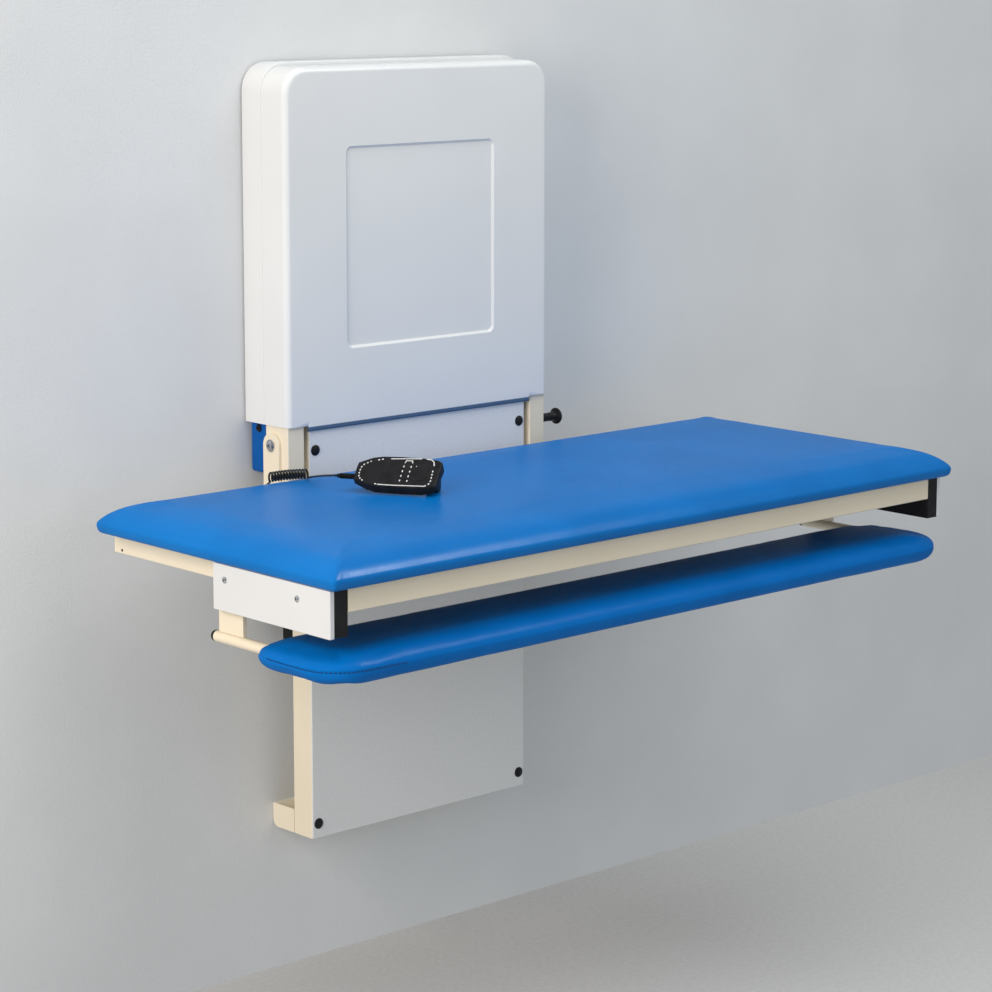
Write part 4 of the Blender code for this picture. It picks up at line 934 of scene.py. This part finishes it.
for p in places:
    wide = hand_w / 2 * float(np.interp(p, hand_along, hand_wide))
    low = hand_t * float(np.interp(p, hand_along, hand_low))
    high = hand_t * float(np.interp(p, hand_along, hand_high))
    r = min(0.0035, (high - low - fall) * 0.42)
    middles = [(y, high - r - fall * (0.5 - y / hand_w)) for y in (wide - r, r - wide)]
    middles += [(y, low + r) for y in (r - wide, wide - r)]
    lines.append([(p * hand_l, y, z) for y, z in round_corners(r, middles)])
rows = skin_over(handset, lines, closed=True)
handset.faces.new(rows[0])
handset.faces.new(rows[-1])
bmesh.ops.recalc_face_normals(handset, faces=handset.faces)
bmesh.ops.transform(handset, matrix=lean, verts=handset.verts)
hand_black = coat("handset_moulding", "black_plastic", (0.010, 0.010, 0.011), (0.016, 0.016, 0.017), 0.36, 60.0, 2400.0,
                  0.00005, Specular_IOR_Level=0.12)
key_rubber = coat("key_rubber", "black_rubber", (0.012, 0.012, 0.013), (0.018, 0.018, 0.019), 0.52, 60.0, 2000.0,
                  0.00005, Specular_IOR_Level=0.12)
fit("handset_shell", handset, hand_black, "bench", "handset")
fit("handset_rest", eased("handset_hook", 0.0014), hand_black, "bench", "handset_hook")


def low_key(length, wide, low, high):
    """A flat key with rounded corners and a soft upper edge."""
    key = bmesh.new()
    bmesh.ops.create_cube(key, size=1.0)
    bmesh.ops.scale(key, vec=(length, wide, high - low), verts=key.verts)
    bmesh.ops.translate(key, vec=(0.0, 0.0, (high + low) / 2), verts=key.verts)
    upright = [e for e in key.edges if abs(e.verts[0].co.z - e.verts[1].co.z) > (high - low) / 2]
    bmesh.ops.bevel(key, geom=upright, offset=0.0030, segments=5, profile=0.5, affect="EDGES")
    above = [e for e in key.edges if min(v.co.z for v in e.verts) > high - 0.00001]
    bmesh.ops.bevel(key, geom=above, offset=0.0005, segments=3, profile=0.5, affect="EDGES")
    return key


key_at = {"up": 0.105 * hand_l, "down": 0.300 * hand_l}
key_top = 0.0007
for key, middle in key_at.items():
    shape = low_key(0.0168, 0.0350, -0.0020, key_top)
    bmesh.ops.transform(shape, matrix=face @ Matrix.Translation((middle, 0.0, 0.0)), verts=shape.verts)
    fit("handset_" + key + "_key", shape, key_rubber, key + "_key", "key_" + key)

face_print = coat("white_print", "black_plastic", (0.66, 0.66, 0.65), (0.74, 0.74, 0.73), 0.5, 500.0, 2600.0, 0.00003)
key_print = (face_print[0], "black_rubber")


def dash(length, wide):
    """One printed dash, a film with thin edges, lying along X."""
    film = bmesh.new()
    bmesh.ops.create_cube(film, size=1.0)
    bmesh.ops.scale(film, vec=(length, wide, 0.00018), verts=film.verts)
    bmesh.ops.bevel(film, geom=[e for e in film.edges if abs(e.verts[0].co.z - e.verts[1].co.z) > 0.0001],
                    offset=wide * 0.3, segments=2, affect="EDGES")
    return film


def printed(name, mark, lines, pitch, height=0.0, finish=face_print, body="bench"):
    """A row of printed marks along lines on the handset's face, which falls a little towards its two ends."""
    drawn = [[(x, y, height + hand_t * (float(np.interp(x / hand_l, hand_along, hand_high)) - 1.0)) for x, y in line]
             for line in lines]
    marks = row_along(name, mark, drawn, pitch, finish[0])
    bmesh.ops.transform(marks, matrix=face, verts=marks.verts)
    fit(name, marks, finish, body)


cord_end = [(-0.0319, 0.0245), (-0.0520, 0.0185), (-0.0640, 0.0110), (-0.0668, 0.0040), (-0.0668, -0.0066),
            (-0.0650, -0.0165), (-0.0560, -0.0240), (-0.0313, -0.0300)]
hook_end = [(0.0636, 0.0035), (0.0645, -0.0107), (0.0650, -0.0200), (0.0625, -0.0255), (0.0580, -0.0285)]
near_side = [(-0.0264, -0.0310), (0.0, -0.0312), (0.0565, -0.0296)]
far_corner = [(0.0470, 0.0298), (0.0560, 0.0285), (0.0605, 0.0245), (0.0628, 0.0169)]
far_side = [(-0.0161, 0.0265), (0.0365, 0.0300)]
printed("handset_border_dashes", dash(0.0040, 0.0022), [cord_end, hook_end], 0.0066)
printed("handset_border_lines", dash(0.0030, 0.0019), [near_side, far_corner, far_side], 0.0022)
leg_x, leg_pitch = (0.0100, 0.0232), 0.0105
printed("up_key_dashes", dash(0.0044, 0.0020), [[(x, leg_pitch), (x, -leg_pitch)] for x in leg_x], leg_pitch, key_top,
        key_print, "up_key")
printed("up_mark_ends", dash(0.0042, 0.0020), [[(x, -0.0200), (x, -0.0216)] for x in leg_x], 0.0040)
mark_bar = [(leg_x[0], 0.0198), (leg_x[0] + 0.0012, 0.0240), (leg_x[1] - 0.0012, 0.0243), (leg_x[1], 0.0200)]
printed("up_mark_bar", dash(0.0028, 0.0018), [mark_bar], 0.0020)
printed("face_dot", dash(0.0019, 0.0019), [[(0.0320, 0.0128), (0.0330, 0.0128)]], 0.0020)


# Strain relief: a ribbed rubber sleeve that holds the cord where it enters the handset.
# It tapers towards the cord, and its ribs stand at an even pitch.
relief_y, relief_z = -0.010, 0.52 * hand_t
relief_l = 0.030
relief_end = -hand_l / 2 - 0.0003
cord_r = 0.0019
sleeve = turned([(0.0, cord_r), (0.0, cord_r + 0.0012), (0.0006, cord_r + 0.0015), (relief_l - 0.004, 0.0040),
                 (relief_l, 0.0046), (relief_l, cord_r), (0.0, cord_r)], 24)
bmesh.ops.remove_doubles(sleeve, verts=sleeve.verts, dist=0.00001)
set_along(sleeve, (relief_end - relief_l, relief_y, relief_z), (1.0, 0.0, 0.0))
rib = turned([(-0.0009, 0.0030), (-0.0009, 0.0046), (-0.0005, 0.0051), (0.0005, 0.0051), (0.0009, 0.0046),
              (0.0009, 0.0030)], 20)
bmesh.ops.rotate(rib, cent=(0, 0, 0), matrix=Matrix.Rotation(math.pi / 2, 3, "Y"), verts=rib.verts)
ribs = row_along("relief_ribs", rib, [[(relief_end - relief_l + 0.006, relief_y, relief_z),
                                       (relief_end - 0.001, relief_y, relief_z)]], 0.0038, rubber[0])
relief_rubber = (rubber[0], "black_plastic")
for name, part, nodes in (("relief_sleeve", sleeve, ("strain_relief",)), ("relief_ribs", ribs, ())):
    bmesh.ops.transform(part, matrix=lean, verts=part.verts)
    fit(name, part, relief_rubber, "bench", *nodes)


# Cord: a thin black curly cord from the foot of the left post, up behind the mattress and over its edge.
# Its curls lie on the mattress, and a short plain end runs on into the handset's strain relief.
def smooth_line(points, steps):
    """A smooth curve through given points."""
    ends = [points[0] * 2 - points[1]] + points + [points[-1] * 2 - points[-2]]
    line = []
    for a, b, c, d in zip(ends, ends[1:], ends[2:], ends[3:]):
        for i in range(steps):
            t = i / steps
            line.append(((2 * b) + (c - a) * t + (2 * a - 5 * b + 4 * c - d) * t * t
                         + (3 * b - a - 3 * c + d) * t ** 3) / 2)
    return line + [points[-1]]


def bend(start, start_way, end, end_way, steps=24):
    """A free curve between two points; the two ways carry the reach of the curve at its ends."""
    line = []
    for i in range(steps + 1):
        t = i / steps
        line.append(start * (1 - t) ** 3 + (start + start_way) * (3 * t * (1 - t) ** 2)
                    + (end - end_way) * (3 * t * t * (1 - t)) + end * t ** 3)
    return line


curl_r, curls, per_curl = 0.0076, 13, 16
coil_a, coil_b = Vector((-0.398, -0.1723, 0.6796)), Vector((-0.358, -0.2283, 0.6884))
axis = (coil_b - coil_a).normalized()
across = axis.cross(Vector((0.0, 0.0, 1.0))).normalized()
rise = across.cross(axis)
coil = []
for i in range(curls * per_curl + 1):
    u = i / (curls * per_curl)
    turn = 2 * math.pi * i / per_curl
    coil.append(coil_a.lerp(coil_b, u) + rise * (0.0015 * math.sin(math.pi * u))
                + (across * math.sin(turn) - rise * math.cos(turn)) * curl_r)
curl_way = (coil[1] - coil[0]).normalized()
relief_in = lean @ Vector((relief_end - relief_l - 0.0003, relief_y, relief_z))
relief_way = (lean.to_3x3() @ Vector((1.0, 0.0, 0.0))).normalized()
climb = smooth_line([Vector(point) for point in (
    (-0.297, -0.0888, 0.544), (-0.297, -0.0888, 0.534), (-0.297, -0.0888, 0.522), (-0.297, -0.0888, 0.510),
    (-0.311, -0.0888, 0.486), (-0.350, -0.0988, 0.490), (-0.374, -0.1263, 0.531), (-0.380, -0.1273, 0.576),
    (-0.383, -0.1273, 0.618), (-0.3845, -0.1285, 0.640))], 4)
over_edge = bend(climb[-1], (climb[-1] - climb[-2]).normalized() * 0.014, coil[0], curl_way * 0.016)
to_handset = bend(coil[-1], curl_way * 0.018, relief_in, relief_way * 0.030)
route = climb[:-1] + over_edge[:-1] + coil + to_handset[1:]
cord = bmesh.new()
sides = 10
lines = []
lead = Vector((1.0, 0.0, 0.0))
for i, point in enumerate(route):
    way = (route[min(i + 1, len(route) - 1)] - route[max(i - 1, 0)]).normalized()
    lead = (lead - way * lead.dot(way)).normalized()
    other = way.cross(lead)
    lines.append([point + (lead * math.cos(turn) + other * math.sin(turn)) * cord_r
                  for turn in (2 * math.pi * k / sides for k in range(sides))])
rows = skin_over(cord, lines, closed=True)
cord.faces.new(rows[0])
cord.faces.new(rows[-1])
bmesh.ops.recalc_face_normals(cord, faces=cord.faces)
jacket, cord_slot = coat("cord_jacket", "black_cord", (0.010, 0.010, 0.010), (0.016, 0.016, 0.017), 0.34, 200.0, 3000.0,
                         0.00003)
curly_cord = piece_of("curly_cord", cord, jacket)
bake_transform(curly_cord)
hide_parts("cord")
